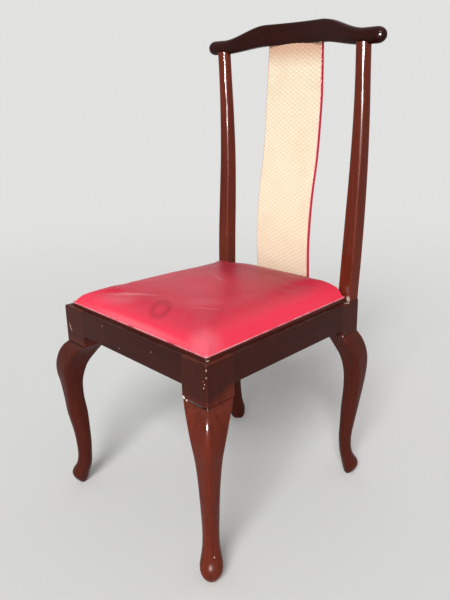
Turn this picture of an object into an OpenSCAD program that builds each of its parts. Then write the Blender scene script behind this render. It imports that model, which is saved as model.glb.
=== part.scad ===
// Worn dining chair: yoke-shaped crest rail, upholstered centre splat, drop-in
// seat and four cabriole legs. A splinter is missing at the shoulder of the
// front right leg, and the corner above it is chipped.
// The front looks towards -Y. Left and right are as seen by someone who faces
// the front. The origin is on the floor under the middle of the chair.

/* [Seat frame] */
// Height of the top edge of the seat rails above the floor
rail_top = 450; // [440:1:460]
// Height of a seat rail from its bottom to its top edge
rail_height = 58; // [54:1:62]
// Thickness of a seat rail
rail_thickness = 24; // [22:1:26]
// Width of the frame across the front
front_width = 474; // [460:2:490]
// Width of the frame across the back
rear_width = 421; // [411:2:431]
// Depth of the frame from front face to rear face
frame_depth = 472; // [460:2:480]
// Distance of the frame's front face ahead of the origin
front_reach = 243; // [240:1:246]
// Width of the rim that stands around the drop-in seat
rim_width = 10; // [8:1:12]
// Depth of the ledge below the rim, where the seat lies
ledge_depth = 14; // [12:1:16]

/* [Legs] */
// Side of the square head at the top of a front leg
front_head = 70; // [68:1:72]
// Side of the square head of a rear leg
rear_head = 60; // [58:1:62]
// Height of the shoulder where a front knee starts
front_shoulder = 365; // [362:1:368]
// Height of the shoulder where a rear knee starts
rear_shoulder = 377; // [374:1:380]
// How far a front foot stands forward of its leg's own diagonal
front_sway = 3; // [0:1:6]
// How far a rear foot stands back from its leg's own diagonal
rear_sway = 20; // [0:1:22]

/* [Back] */
// Height of the top of the crest rail
chair_height = 1031; // [1025:1:1036]
// Length of the crest rail from tip to tip
crest_length = 500; // [496:2:508]
// How far the middle of the crest rail bows backwards
crest_bow = 33; // [28:1:36]
// Thickness of the crest rail in its middle
crest_thickness = 27; // [25:1:29]
// Distance between the centre lines of the posts at the top
post_spacing = 400; // [396:2:404]
// Thickness of a post
post_size = 33; // [31:1:34]
// Width of the splat with its covers
splat_width = 160; // [150:1:165]
// How much narrower the splat is at its top, on each side
splat_taper = 4; // [0:1:6]
// Thickness of the splat with its covers
splat_thickness = 10; // [9:0.5:11]

/* [Seat] */
// Gap between the rim and the seat cover
seat_gap = 1.5; // [1:0.5:2]
// Thickness of the seat board
board_thickness = 12; // [10:1:14]
// Height of the middle of the seat above the rails
crown_height = 40; // [32:1:44]
// Thickness of the red vinyl
vinyl = 1.5; // [1:0.1:2]

/* [Hidden] */

wood = "#3b1913";
red = "#b02a3c";
cream = "#ecd8b2";
steel = "#9a9a98";

root2 = sqrt(2);
front_y = -front_reach;
rear_y = frame_depth - front_reach;
rail_bottom = rail_top - rail_height;
ledge_z = rail_top - ledge_depth;
// The side rails close in by this angle towards the back
side_angle = atan((front_width - rear_width) / 2 / frame_depth);
// Corners per quarter of a leg, post or crest section
quarter_points = 5;

// Corners of the frame: [x sign, y sign]; x 1 is right, y -1 is front
front_left = [-1, -1];
front_right = [1, -1];
rear_left = [-1, 1];
rear_right = [1, 1];
corners = [front_left, front_right, rear_left, rear_right];

// ---- Curves and lofts -------------------------------------------------

function ease(t) = let (c = min(1, max(0, t))) c * c * (3 - 2 * c);

function bend(a, b, c, d, t) =
    0.5 * (2 * b + (c - a) * t + (2 * a - 5 * b + 4 * c - d) * t * t
        + (3 * b - a - 3 * c + d) * t * t * t);

// A smooth run through the stations, with the given steps between two of them
function smooth_run(list, steps) = concat(
    [for (i = [0 : len(list) - 2], k = [0 : steps - 1])
        let (first = i == 0, last = i == len(list) - 2)
        bend(first ? 2 * list[0] - list[1] : list[i - 1], list[i], list[i + 1],
            last ? 2 * list[i + 1] - list[i] : list[i + 2], k / steps)],
    [list[len(list) - 1]]);

// A square stood on its corner, reach 1, whose corners are rounded:
// roundness 0 is the sharp square and 1 is a circle
function flat_distance(roundness) = 1 / ((1 - roundness) * root2 + roundness);
function rounded_diamond(roundness) =
    let (side = flat_distance(roundness), r = roundness * side)
    [for (corner = [0 : 3], k = [0 : quarter_points - 1])
        let (toward = 90 * corner, turn = toward - 45 + 90 * k / (quarter_points - 1))
        (side - r) * root2 * [cos(toward), sin(toward)] + r * [cos(turn), sin(turn)]];

// The same square lying flat, with half its side given
function rounded_square(half, radius) =
    [for (corner = [0 : 3], k = [0 : quarter_points - 1])
        let (turn = 90 * corner + 90 * k / (quarter_points - 1),
            sx = corner == 0 || corner == 3 ? 1 : -1, sy = corner < 2 ? 1 : -1)
        [sx * (half - radius) + radius * cos(turn), sy * (half - radius) + radius * sin(turn)]];

// A closed solid through rings that all have the same number of points
module loft(rings) {
    n = len(rings[0]);
    last = len(rings) - 1;
    polyhedron(
        points = [for (ring = rings) each ring],
        faces = concat(
            [[for (i = [0 : n - 1]) i]],
            [for (k = [0 : last - 1], i = [0 : n - 1])
                [k * n + i, (k + 1) * n + i, (k + 1) * n + (i + 1) % n, k * n + (i + 1) % n]],
            [[for (i = [n - 1 : -1 : 0]) last * n + i]]),
        convexity = 6);
}

// ---- Places at the frame's corners ------------------------------------

// Half the frame's width at a given y
function half_width(y) =
    front_width / 2 - (front_width - rear_width) / 2 * (y - front_y) / frame_depth;

// A point p inwards along the front or rear face and q inwards along the side
function at_corner(corner, p, q) =
    let (y0 = corner[1] < 0 ? front_y : rear_y,
        x0 = half_width(y0),
        y = y0 - corner[1] * q * cos(side_angle))
    [corner[0] * (x0 - p + corner[1] * q * sin(side_angle)), y];

// The same for u outwards along the diagonal and v across it
function on_diagonal(corner, u, v) =
    at_corner(corner, (v - u) / root2, (-u - v) / root2);

// A point at a depth square to the front or rear face, p inwards along it
function behind_cross(corner, p, depth) = at_corner(corner, p, depth / cos(side_angle));

// A point at a depth square to the side face, q inwards along it
function behind_side(corner, depth, q) = at_corner(corner, depth / cos(side_angle), q);

// ---- Legs -------------------------------------------------------------

// Stations of a cabriole leg: height, reach outwards and inwards from the
// frame's corner along the diagonal, breadth across it, and roundness
front_leg = [
    [0, 9, -12, 24, 1], [8, 16, -14, 36, 1], [19, 21.5, -17, 43, 1], [31, 19.5, -21, 45, 1],
    [45, 11, -25, 42, 1], [60, 6, -27, 38, 1], [78, 4, -28, 35, 1], [105, 5, -29.5, 34, 1],
    [140, 9, -29, 36, 0.95], [185, 18.5, -27.5, 39, 0.8], [225, 22.5, -22.5, 44, 0.68],
    [262, 27.5, -23, 51, 0.55], [290, 33, -30, 60, 0.46], [314, 32, -41, 70, 0.38],
    [337, 24.5, -59, 80, 0.3], [354, 13, -74, 87, 0.2], [front_shoulder, -0.7, -86, 89.4, 0.05]];
rear_leg = [
    [0, 6, -12, 24, 1], [9, 14, -15, 36, 1], [21, 20, -18, 42, 1], [33, 19, -21, 43, 1],
    [46, 10, -24, 40, 1], [60, 4, -26.5, 36, 1], [78, 1, -28.5, 33.5, 1], [105, 1, -30, 33, 1],
    [140, 6, -29, 35, 0.95], [185, 13.5, -28, 39, 0.8], [228, 20.5, -25, 44, 0.68],
    [266, 26, -25.5, 51, 0.55], [294, 28, -30, 58, 0.46], [318, 27, -38, 67, 0.38],
    [340, 21.5, -50.5, 75, 0.3], [360, 12, -63, 80, 0.2], [rear_shoulder, -0.6, -77, 81.8, 0.05]];
leg_steps = 3;

// One ring of a leg; the widest place keeps the two outer faces square to the frame
function leg_ring(corner, station, sway) =
    let (z = station[0], out = station[1], breadth = station[3],
        middle = out - breadth / 2, inner = middle - station[2],
        aside = sway * pow(max(0, 1 - z / rail_bottom), 1.2))
    [for (c = rounded_diamond(station[4]))
        let (u = middle + c[0] * (c[0] > 0 ? breadth / 2 : inner),
            place = on_diagonal(corner, u, aside + c[1] * breadth / 2))
        [place[0], place[1], z]];

// One ring of the square head, with its four edges eased
head_easing = 0.04;
function head_ring(corner, head, z) =
    let (reach = head / 2 / flat_distance(head_easing))
    [for (c = rounded_diamond(head_easing))
        let (place = on_diagonal(corner, c[0] * reach - head / root2, c[1] * reach))
        [place[0], place[1], z]];

// The rings in the order that a loft needs on a mirrored corner
function turned(rings) = [for (ring = rings) [for (i = [len(ring) - 1 : -1 : 0]) ring[i]]];

// The leg from the sole to the top of its square head
module cabriole(corner, stations, head, sway) {
    rings = concat(
        [for (station = smooth_run(stations, leg_steps)) leg_ring(corner, station, sway)],
        [for (z = [rail_bottom, rail_top]) head_ring(corner, head, z)]);
    mirrored = corner[0] * corner[1] < 0;
    loft(mirrored ? turned(rings) : rings);
}

// Everything inside the rim, where the seat drops in
module seat_well(clear = 0) {
    inset = rim_width + clear;
    translate([0, 0, ledge_z])
        linear_extrude(ledge_depth + 1)
            polygon([
                [-half_width(front_y) + inset, front_y + inset],
                [half_width(front_y) - inset, front_y + inset],
                [half_width(rear_y) - inset, rear_y - rail_thickness - clear],
                [-half_width(rear_y) + inset, rear_y - rail_thickness - clear]]);
}

// Tenons at both ends of a rail: length into the head, thickness and height
tenon_length = 30;
tenon_thickness = 9;
tenon_height = 34;
tenon_bottom = rail_bottom + 6;
// Distance of a tenon from the outer face of its rail
tenon_inset = 9;

// The tenon on the front or rear rail at a corner
module cross_tenon(corner, head) {
    translate([0, 0, tenon_bottom]) linear_extrude(tenon_height)
        polygon([
            behind_cross(corner, head, tenon_inset),
            behind_cross(corner, head - tenon_length, tenon_inset),
            behind_cross(corner, head - tenon_length, tenon_inset + tenon_thickness),
            behind_cross(corner, head, tenon_inset + tenon_thickness)]);
}

// The tenon on the side rail at a corner
module side_tenon(corner, head) {
    translate([0, 0, tenon_bottom]) linear_extrude(tenon_height)
        polygon([
            behind_side(corner, tenon_inset, head),
            behind_side(corner, tenon_inset, head - tenon_length),
            behind_side(corner, tenon_inset + tenon_thickness, head - tenon_length),
            behind_side(corner, tenon_inset + tenon_thickness, head)]);
}

module front_leg_blank(corner) {
    difference() {
        cabriole(corner, front_leg, front_head, front_sway);
        seat_well();
        cross_tenon(corner, front_head);
        side_tenon(corner, front_head);
    }
}

module leg_front_left() {
    color(wood) front_leg_blank(front_left);
}

// Depth and height of the splinter that is missing at the shoulder
splinter = [26, 4, 5];
// Chips down the corner above it: height above the shoulder and size
corner_chips = [[76, 4], [62, 3], [45, 3.5], [1, 3]];

module leg_front_right() {
    place = at_corner(front_right, 54, 0);
    corner = at_corner(front_right, 0, 0);
    color(wood) difference() {
        front_leg_blank(front_right);
        translate([place[0], place[1], front_shoulder + 1]) rotate([40, 6, 0])
            cube(splinter, center = true);
        for (chip = corner_chips)
            translate([corner[0], corner[1], front_shoulder + chip[0]]) rotate([30, 20, 45])
                cube([chip[1], 2, chip[1]], center = true);
    }
}

// Stations of the right post: distance out from the spacing at its top, distance
// from the frame's rear face, height, half its side and the radius of its edges
post = [
    [rear_width / 2 - 16.6 - post_spacing / 2, -16.6, 449, 16.3, 4], [-5.8, -16.2, 465, 16.5, 4],
    [-4, -12.5, 540, 16.4, 4.6], [-3, -6.5, 640, 16.1, 5.8], [-2.2, -2, 740, 15.6, 8.2],
    [-1, -1.4, 840, 15.2, 11.6], [-0.4, -3.4, 915, 15, 14], [0, -6, 979, 15, 14.98]];
post_steps = 3;
post_tenon_r = 9;
post_tenon_length = 14;
post_top_z = post[len(post) - 1][2];
post_top_r = post[len(post) - 1][3];

function post_x(station) = post_spacing / 2 + station[0];
function post_y(station) = rear_y + station[1];

// A rear leg and its post, which are one piece of wood
module rear_leg_blank(corner) {
    side = corner[0];
    scale_to = post_size / 33;
    rings = [for (s = smooth_run(post, post_steps))
        [for (c = rounded_square(s[3] * scale_to, s[4]))
            [side * (post_x(s) + c[0]), post_y(s) + c[1], s[2]]]];
    color(wood) union() {
        difference() {
            cabriole(corner, rear_leg, rear_head, rear_sway);
            difference() {
                seat_well();
                post_clearance(corner, 0);
            }
            cross_tenon(corner, rear_head);
            side_tenon(corner, rear_head);
        }
        loft(side < 0 ? turned(rings) : rings);
        at_post_top(side, -1) cylinder(r = post_tenon_r, h = post_tenon_length + 1, $fn = 48);
    }
}

// Puts a child on the axis of a post's top, at a height above its end
module at_post_top(side, height) {
    end = post[len(post) - 1];
    translate([side * post_x(end), post_y(end), post_top_z + height]) children();
}

// The space of a post at seat height, with a margin around it
module post_clearance(corner, margin) {
    side = corner[0];
    half = post_size / 2 + margin;
    reach = 60;
    translate([side * (post_x(post[0]) + (reach - half) / 2), post_y(post[0]) + (reach - half) / 2,
        rail_top])
        cube([half + reach, half + reach, 120], center = true);
}

module leg_rear_left() {
    rear_leg_blank(rear_left);
}

module leg_rear_right() {
    rear_leg_blank(rear_right);
}

// ---- Rails ------------------------------------------------------------

// The front or rear rail, between the heads of its two legs
module cross_rail(left, right, head) {
    translate([0, 0, rail_bottom]) linear_extrude(rail_height)
        polygon([
            behind_cross(left, head, 0), behind_cross(right, head, 0),
            behind_cross(right, head, rail_thickness), behind_cross(left, head, rail_thickness)]);
    cross_tenon(left, head);
    cross_tenon(right, head);
}

module side_rail(front, rear) {
    difference() {
        translate([0, 0, rail_bottom]) linear_extrude(rail_height)
            polygon([
                behind_side(front, 0, front_head), behind_side(rear, 0, rear_head),
                behind_side(rear, rail_thickness, rear_head),
                behind_side(front, rail_thickness, front_head)]);
        seat_well();
        block_screw_solids();
    }
    side_tenon(front, front_head);
    side_tenon(rear, rear_head);
}

module rail_front() {
    color(wood) difference() {
        cross_rail(front_left, front_right, front_head);
        seat_well();
        block_screw_solids();
    }
}

module rail_rear() {
    color(wood) difference() {
        cross_rail(rear_left, rear_right, rear_head);
        splat_slab(board_from, board_to, board_half, splat_foot, rail_top + 1);
        block_screw_solids();
    }
}

module rail_left() {
    color(wood) side_rail(front_left, rear_left);
}

module rail_right() {
    color(wood) side_rail(front_right, rear_right);
}

// ---- Crest rail -------------------------------------------------------

// Heights of the underside and top of the arms, and the rise over the splat
arm_bottom = 973.5;
arm_top = chair_height - 26;
bottom_rise = 12.5;
// Distances from the middle where the hump ends and where it is fully up
hump_end = 200;
hump_full = 78;
arm_half = 14.2;
crest_end_y = rear_y - 4.5;
tip_reach = 20;
tip_start = crest_length / 2 - tip_reach;
crest_steps = 22;
tip_steps = 5;

function crest_places() =
    let (ends = [for (k = [1 : tip_steps]) tip_start + tip_reach * sin(87 * k / tip_steps)])
    concat([for (k = [tip_steps - 1 : -1 : 0]) -ends[k]],
        [for (k = [-crest_steps : crest_steps]) tip_start * k / crest_steps], ends);

function crest_ring(x) =
    let (a = abs(x),
        hump = ease((hump_end - a) / (hump_end - hump_full)),
        top = arm_top + (chair_height - arm_top) * hump,
        bottom = arm_bottom + bottom_rise * ease((hump_end - a) / (hump_end - hump_full)),
        y = crest_end_y + crest_bow * (1 + cos(180 * min(1, a / tip_start))) / 2,
        tip = a <= tip_start ? 1 : sqrt(1 - pow((a - tip_start) / tip_reach, 2)),
        thick = (arm_half + (crest_thickness / 2 - arm_half) * hump) * tip,
        high = (top - bottom) / 2 * tip,
        roundness = 0.95 - 0.5 * hump)
    [for (c = rounded_square(1, roundness))
        [x, y + thick * c[0], (top + bottom) / 2 + high * c[1]]];

module crest_rail() {
    color(wood) difference() {
        loft([for (x = crest_places()) crest_ring(x)]);
        for (side = [-1, 1]) {
            at_post_top(side, -20) cylinder(r = post_top_r + 0.4, h = 20, $fn = 60);
            at_post_top(side, -1) cylinder(r = post_tenon_r, h = post_tenon_length + 1, $fn = 48);
        }
        splat_slab(0, splat_thickness, splat_width / 2, rail_top, splat_head);
    }
}

// ---- Splat ------------------------------------------------------------

// The curve of the splat's front face: distance from the frame's rear face, height
splat_line = [[-20.5, 425], [-21.6, 483], [-22.4, 564], [-13.7, 660],
    [2.2, 753], [11.4, 850], [15.6, 930], [17.5, 1000]];
splat_steps = 4;
splat_foot = rail_top - 18;
splat_head = 991;
// Height from which the splat narrows to its top
taper_z = 880;
fabric = 1;
foam_depth = 2;
board_from = fabric + foam_depth;
board_to = splat_thickness - vinyl;
board_half = splat_width / 2 - vinyl;

// A layer of the splat between two depths behind its front face
module splat_slab(from, to, half, low, high) {
    run = smooth_run(splat_line, splat_steps);
    profile = concat([for (c = run) [rear_y + c[0] + from, c[1]]],
        [for (i = [len(run) - 1 : -1 : 0]) [rear_y + run[i][0] + to, run[i][1]]]);
    top_half = half - splat_taper * (high - taper_z) / (splat_head - taper_z);
    intersection() {
        translate([-half, 0, 0]) rotate([90, 0, 90]) linear_extrude(2 * half) polygon(profile);
        translate([0, 400, 0]) rotate([90, 0, 0]) linear_extrude(400)
            polygon(high > taper_z
                ? [[-half, low], [half, low], [half, taper_z], [top_half, high],
                    [-top_half, high], [-half, taper_z]]
                : [[-half, low], [half, low], [half, high], [-half, high]]);
    }
}

module splat_board() {
    color(wood) splat_slab(board_from, board_to, board_half, splat_foot, splat_head);
}

module splat_foam() {
    color("#f2ead2") splat_slab(fabric, board_from, board_half, rail_top, splat_head);
}

module splat_fabric() {
    color(cream) splat_slab(0, fabric, splat_width / 2, rail_top, splat_head);
}

// The vinyl goes over the back and round both edges up to the fabric
module splat_vinyl() {
    color(red) difference() {
        splat_slab(fabric, splat_thickness, splat_width / 2, rail_top, splat_head);
        splat_slab(fabric - 1, board_to, board_half, rail_top - 1, splat_head + 1);
    }
}

// ---- Drop-in seat -----------------------------------------------------

crown_edge = 4;
crown_shoulder = 22;
shoulder_inset = 8;
board_z = ledge_z + vinyl;
foam_z = board_z + board_thickness;
seat_insets = [0, 1, 3, 6, 10, 16, 26, 42, 66, 100, 150];
flat_inset = seat_insets[len(seat_insets) - 1];
cover_turn_in = 30;

// Height of the seat's surface above the rails at an inset from its edge
function crown(inset) =
    crown_edge + crown_shoulder * (1 - exp(-inset / shoulder_inset))
        + (crown_height - crown_edge - crown_shoulder) * (1 - pow(1 - inset / flat_inset, 2));

// One level outline of the seat, inset from its edge, with rounded corners
function seat_ring(inset, z) =
    let (d = rim_width + seat_gap + inset, radius = 6 + inset * 0.25,
        front = front_y + d, rear = rear_y - rail_thickness - seat_gap - inset)
    [for (c = [[1, 1], [-1, 1], [-1, -1], [1, -1]], k = [0 : 5])
        let (y = c[1] > 0 ? rear - radius : front + radius,
            x = half_width(y) - d - radius,
            start = c[1] > 0 ? (c[0] > 0 ? 0 : 90) : (c[0] > 0 ? 270 : 180),
            turn = start + 18 * k)
        [c[0] * x + radius * cos(turn), y + radius * sin(turn), z]];

// The seat's body from a height up to its crown, smaller all round by a skin
module seat_body(low, skin) {
    difference() {
        loft(concat([seat_ring(skin, low)],
            [for (d = seat_insets) seat_ring(d + skin, rail_top + crown(d) - skin)]));
        post_clearance(rear_left, seat_gap + skin);
        post_clearance(rear_right, seat_gap + skin);
    }
}

// A flat layer of the seat
module seat_layer(low, thickness, inset) {
    difference() {
        translate([0, 0, low]) linear_extrude(thickness)
            polygon([for (c = seat_ring(inset, 0)) [c[0], c[1]]]);
        post_clearance(rear_left, seat_gap + inset);
        post_clearance(rear_right, seat_gap + inset);
    }
}

module seat_board() {
    color("#c8a878") difference() {
        seat_layer(board_z, board_thickness, vinyl);
        seat_screw_solids();
        staple_solids();
    }
}

module seat_foam() {
    color("#f2ead2") seat_body(foam_z, vinyl);
}

module seat_cover() {
    color(red) difference() {
        seat_body(ledge_z, 0);
        seat_body(foam_z - 1, vinyl);
        seat_layer(board_z, board_thickness, vinyl);
        seat_layer(ledge_z - 1, 3, cover_turn_in);
        seat_screw_solids();
        staple_solids();
    }
}

// The dust cover is tacked on below, clear of the legs' heads
dust_thickness = 0.8;
dust_inset = 16;

module seat_dust_cover() {
    color("#26221f") difference() {
        seat_layer(ledge_z - dust_thickness, dust_thickness, dust_inset);
        for (corner = corners) head_space(corner, 3);
        seat_screw_solids();
        staple_solids();
    }
}

// The square that a leg's head takes up, with a margin
module head_space(corner, margin) {
    head = (corner[1] < 0 ? front_head : rear_head) + margin;
    translate([0, 0, rail_bottom - 1]) linear_extrude(rail_height)
        polygon([at_corner(corner, -1, -1), at_corner(corner, head, -1),
            at_corner(corner, head, head), at_corner(corner, -1, head)]);
}

// ---- Fasteners and corner blocks --------------------------------------

staple = [9, 0.8, 8];
staple_wire = 0.8;
staple_edge = 8;
staple_places = concat(
    [for (x = [-125 : 25 : 125]) [x, front_y + rim_width + seat_gap + dust_inset + staple_edge, 0]],
    [for (x = [-100 : 25 : 100]) [x, rear_y - rail_thickness - seat_gap - dust_inset - staple_edge, 0]],
    [for (side = [-1, 1], y = [-150 : 30 : 120])
        [side * (half_width(y) - rim_width - seat_gap - dust_inset - staple_edge), y, 90]]);

module staple_solids() {
    for (place = staple_places)
        translate([place[0], place[1], ledge_z - dust_thickness - staple_wire]) rotate(place[2]) {
            translate([-staple[0] / 2, -staple[1] / 2, 0]) cube([staple[0], staple[1], staple_wire]);
            for (side = [-1, 1])
                translate([side * (staple[0] - staple_wire) / 2 - staple_wire / 2, -staple[1] / 2, 0])
                    cube([staple_wire, staple[1], staple[2]]);
        }
}

module seat_staples() {
    color(steel) staple_solids();
}

block_z = rail_bottom + 12;
block_top = ledge_z - 2;
// Reach of a block's slanted face beyond the head, along both rails together
block_reach = 118;
screw_r = 2;
screw_head_r = 4;
screw_head_h = 2.5;
screw_length = 28;
// Depth below the rail's outer face where a screw's head lies
screw_head_depth = 40;
screw_aside = 58;
seat_screw_aside = 12;
seat_screw_length = 34;

function head_of(corner) = corner[1] < 0 ? front_head : rear_head;

// A screw along +Z with its head's seat at the origin
module screw(length, head_h) {
    translate([0, 0, -head_h]) cylinder(r = screw_head_r, h = head_h, $fn = 40);
    cylinder(r = screw_r, h = length - 3, $fn = 32);
    translate([0, 0, length - 3]) cylinder(r1 = screw_r, r2 = 0.4, h = 3, $fn = 32);
}

// The two screws of each block: one goes into each of its two rails
module block_screw_solids(head_h = screw_head_h) {
    for (corner = corners) {
        along = head_of(corner) + screw_aside;
        cross = behind_cross(corner, along, screw_head_depth);
        side = behind_side(corner, screw_head_depth, along);
        translate([cross[0], cross[1], block_z + 18])
            rotate([corner[1] < 0 ? 90 : -90, 0, 0]) screw(screw_length, head_h);
        translate([side[0], side[1], block_z + 10])
            rotate([0, corner[0] * 90, corner[0] * side_angle]) screw(screw_length, head_h);
    }
}

// The screw through each block up into the seat board
module seat_screw_solids(head_h = screw_head_h) {
    for (corner = corners) {
        inward = head_of(corner) + seat_screw_aside;
        place = at_corner(corner, inward, inward);
        translate([place[0], place[1], block_z + 6]) screw(seat_screw_length, head_h);
    }
}

module corner_block(corner) {
    head = head_of(corner);
    far = head + block_reach - rail_thickness;
    color("#8a6a45") difference() {
        translate([0, 0, block_z]) linear_extrude(block_top - block_z)
            polygon([
                at_corner(corner, rail_thickness / cos(side_angle), rail_thickness / cos(side_angle)),
                at_corner(corner, far, rail_thickness / cos(side_angle)),
                at_corner(corner, rail_thickness / cos(side_angle), far)]);
        head_space(corner, 0);
        block_screw_solids(30);
        seat_screw_solids(10);
    }
}

module block_front_left() {
    corner_block(front_left);
}

module block_front_right() {
    corner_block(front_right);
}

module block_rear_left() {
    corner_block(rear_left);
}

module block_rear_right() {
    corner_block(rear_right);
}

module block_screws() {
    color(steel) block_screw_solids();
}

module seat_screws() {
    color(steel) seat_screw_solids();
}

leg_front_left();
leg_front_right();
leg_rear_left();
leg_rear_right();
rail_front();
rail_rear();
rail_left();
rail_right();
crest_rail();
splat_board();
splat_foam();
splat_fabric();
splat_vinyl();
seat_board();
seat_foam();
seat_cover();
seat_dust_cover();
seat_staples();
block_front_left();
block_front_right();
block_rear_left();
block_rear_right();
block_screws();
seat_screws();
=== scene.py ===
"""Worn yoke-back dining chair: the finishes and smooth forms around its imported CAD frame.

Everything is in metres, in the frame's own axes: +Z up, the front towards -Y, and left and
right as seen by someone who faces the front. Station lists are in millimetres, as on a drawing.
"""

import math

import bmesh
import bpy
import numpy as np
from mathutils import Matrix, Vector, noise


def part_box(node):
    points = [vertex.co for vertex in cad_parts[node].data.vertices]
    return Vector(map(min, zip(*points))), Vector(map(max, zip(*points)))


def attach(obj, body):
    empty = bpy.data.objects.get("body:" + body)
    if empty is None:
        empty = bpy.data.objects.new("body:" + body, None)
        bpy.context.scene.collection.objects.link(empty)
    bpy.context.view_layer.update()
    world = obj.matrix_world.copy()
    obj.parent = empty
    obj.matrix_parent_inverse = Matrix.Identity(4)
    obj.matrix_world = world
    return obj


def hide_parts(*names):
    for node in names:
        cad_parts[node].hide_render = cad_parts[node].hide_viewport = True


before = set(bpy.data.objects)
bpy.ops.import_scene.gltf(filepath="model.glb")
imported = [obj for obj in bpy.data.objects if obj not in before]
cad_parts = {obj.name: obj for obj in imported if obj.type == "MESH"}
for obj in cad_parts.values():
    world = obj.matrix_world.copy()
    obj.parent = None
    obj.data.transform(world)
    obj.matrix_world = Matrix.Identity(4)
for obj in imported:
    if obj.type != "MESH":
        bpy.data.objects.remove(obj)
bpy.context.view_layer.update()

MM = 0.001
ROOT2 = math.sqrt(2)

# ---- Sizes of the frame ----------------------------------------------------

rail_low, rail_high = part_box("rail_front")
FRONT_Y = rail_low.y
REAR_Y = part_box("rail_rear")[1].y
RAIL_BOTTOM = rail_low.z
RAIL_TOP = rail_high.z
RAIL_THICKNESS = rail_high.y - rail_low.y
LEDGE_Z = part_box("seat_dust_cover")[1].z
CHAIR_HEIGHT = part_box("crest_rail")[1].z
CREST_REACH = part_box("crest_rail")[1].x
SEAT_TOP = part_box("seat_cover")[1].z
FRONT_WIDTH = 0.474
REAR_WIDTH = 0.421
FRAME_DEPTH = REAR_Y - FRONT_Y
SIDE_ANGLE = math.atan((FRONT_WIDTH - REAR_WIDTH) / 2 / FRAME_DEPTH)
RIM_WIDTH = 0.010
FRONT_HEAD = 0.070
REAR_HEAD = 0.060
SEAT_GAP = 0.0015

FRONT_LEFT = (-1, -1)
FRONT_RIGHT = (1, -1)
REAR_LEFT = (-1, 1)
REAR_RIGHT = (1, 1)


def half_width(y):
    """Half the frame's width at a given y."""
    return FRONT_WIDTH / 2 - (FRONT_WIDTH - REAR_WIDTH) / 2 * (y - FRONT_Y) / FRAME_DEPTH


def at_corner(corner, p, q):
    """A point p inwards along the front or rear face and q inwards along the side."""
    y0 = FRONT_Y if corner[1] < 0 else REAR_Y
    y = y0 - corner[1] * q * math.cos(SIDE_ANGLE)
    return corner[0] * (half_width(y0) - p + corner[1] * q * math.sin(SIDE_ANGLE)), y


def on_diagonal(corner, u, v):
    """A point u outwards along the corner's diagonal and v across it."""
    return at_corner(corner, (v - u) / ROOT2, (-u - v) / ROOT2)


def ease(t):
    t = min(1.0, max(0.0, t))
    return t * t * (3 - 2 * t)


def ramp(value, start, end):
    """Eases from 0 at the start to 1 at the end."""
    return ease((value - start) / (end - start))


def smooth_run(stations, steps):
    """A smooth run through the stations, with the given steps between two of them."""
    s = np.array(stations, float)
    s = np.vstack([2 * s[0] - s[1], s, 2 * s[-1] - s[-2]])
    run = []
    for i in range(1, len(s) - 2):
        a, b, c, d = s[i - 1 : i + 3]
        for t in np.arange(steps) / steps:
            run.append(0.5 * (2 * b + (c - a) * t + (2 * a - 5 * b + 4 * c - d) * t**2
                + (3 * b - a - 3 * c + d) * t**3))
    run.append(s[-2])
    return run


# ---- Outlines ---------------------------------------------------------------

QUARTER_POINTS = 9


def flat_distance(roundness):
    return 1 / ((1 - roundness) * ROOT2 + roundness)


def rounded_diamond(roundness):
    """A square stood on its corner, reach 1; roundness 0 is sharp and 1 is a circle."""
    side = flat_distance(roundness)
    r = roundness * side
    points = []
    for corner in range(4):
        toward = math.radians(90 * corner)
        for k in range(QUARTER_POINTS):
            turn = toward + math.radians(-45 + 90 * k / (QUARTER_POINTS - 1))
            points.append(((side - r) * ROOT2 * math.cos(toward) + r * math.cos(turn),
                (side - r) * ROOT2 * math.sin(toward) + r * math.sin(turn)))
    return points


def rounded_square(half, radius):
    points = []
    for corner in range(4):
        sx = 1 if corner in (0, 3) else -1
        sy = 1 if corner < 2 else -1
        for k in range(QUARTER_POINTS):
            turn = math.radians(90 * corner + 90 * k / (QUARTER_POINTS - 1))
            points.append((sx * (half - radius) + radius * math.cos(turn),
                sy * (half - radius) + radius * math.sin(turn)))
    return points


def arc(cx, cy, radius, start, end, steps):
    """Points on an arc, with the angles in degrees."""
    turns = [math.radians(start + (end - start) * k / steps) for k in range(steps + 1)]
    return [(cx + radius * math.cos(t), cy + radius * math.sin(t)) for t in turns]


# ---- Meshes -------------------------------------------------------------------

def add_object(name, data):
    obj = bpy.data.objects.new(name, data)
    bpy.context.scene.collection.objects.link(obj)
    return obj


def make_piece(name, points, faces):
    mesh = bpy.data.meshes.new(name)
    mesh.from_pydata([tuple(p) for p in points], [], faces)
    mesh.update()
    return add_object(name, mesh)


def quads(rows, columns, closed=True, looped=False):
    """Faces between rows of points. closed joins a row's ends, and looped the last row to the first."""
    faces = []
    for r in range(rows if looped else rows - 1):
        a, b = r * columns, (r + 1) % rows * columns
        for i in range(columns if closed else columns - 1):
            j = (i + 1) % columns
            faces.append((a + i, a + j, b + j, b + i))
    return faces


def open_mesh(obj):
    work = bmesh.new()
    work.from_mesh(obj.data)
    return work


def close_mesh(work, mesh):
    """Writes the work to a mesh and lets it go."""
    work.to_mesh(mesh)
    work.free()


def face_outwards(obj):
    work = open_mesh(obj)
    bmesh.ops.recalc_face_normals(work, faces=work.faces)
    close_mesh(work, obj.data)


def loft(name, rings):
    """A closed solid through rings that all have the same number of points."""
    n = len(rings[0])
    last = (len(rings) - 1) * n
    faces = [tuple(range(n))[::-1], tuple(range(last, last + n))] + quads(len(rings), n)
    obj = make_piece(name, [p for ring in rings for p in ring], faces)
    face_outwards(obj)
    return obj


def prism(name, outline, low, high):
    return loft(name, [[(x, y, low) for x, y in outline], [(x, y, high) for x, y in outline]])


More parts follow.
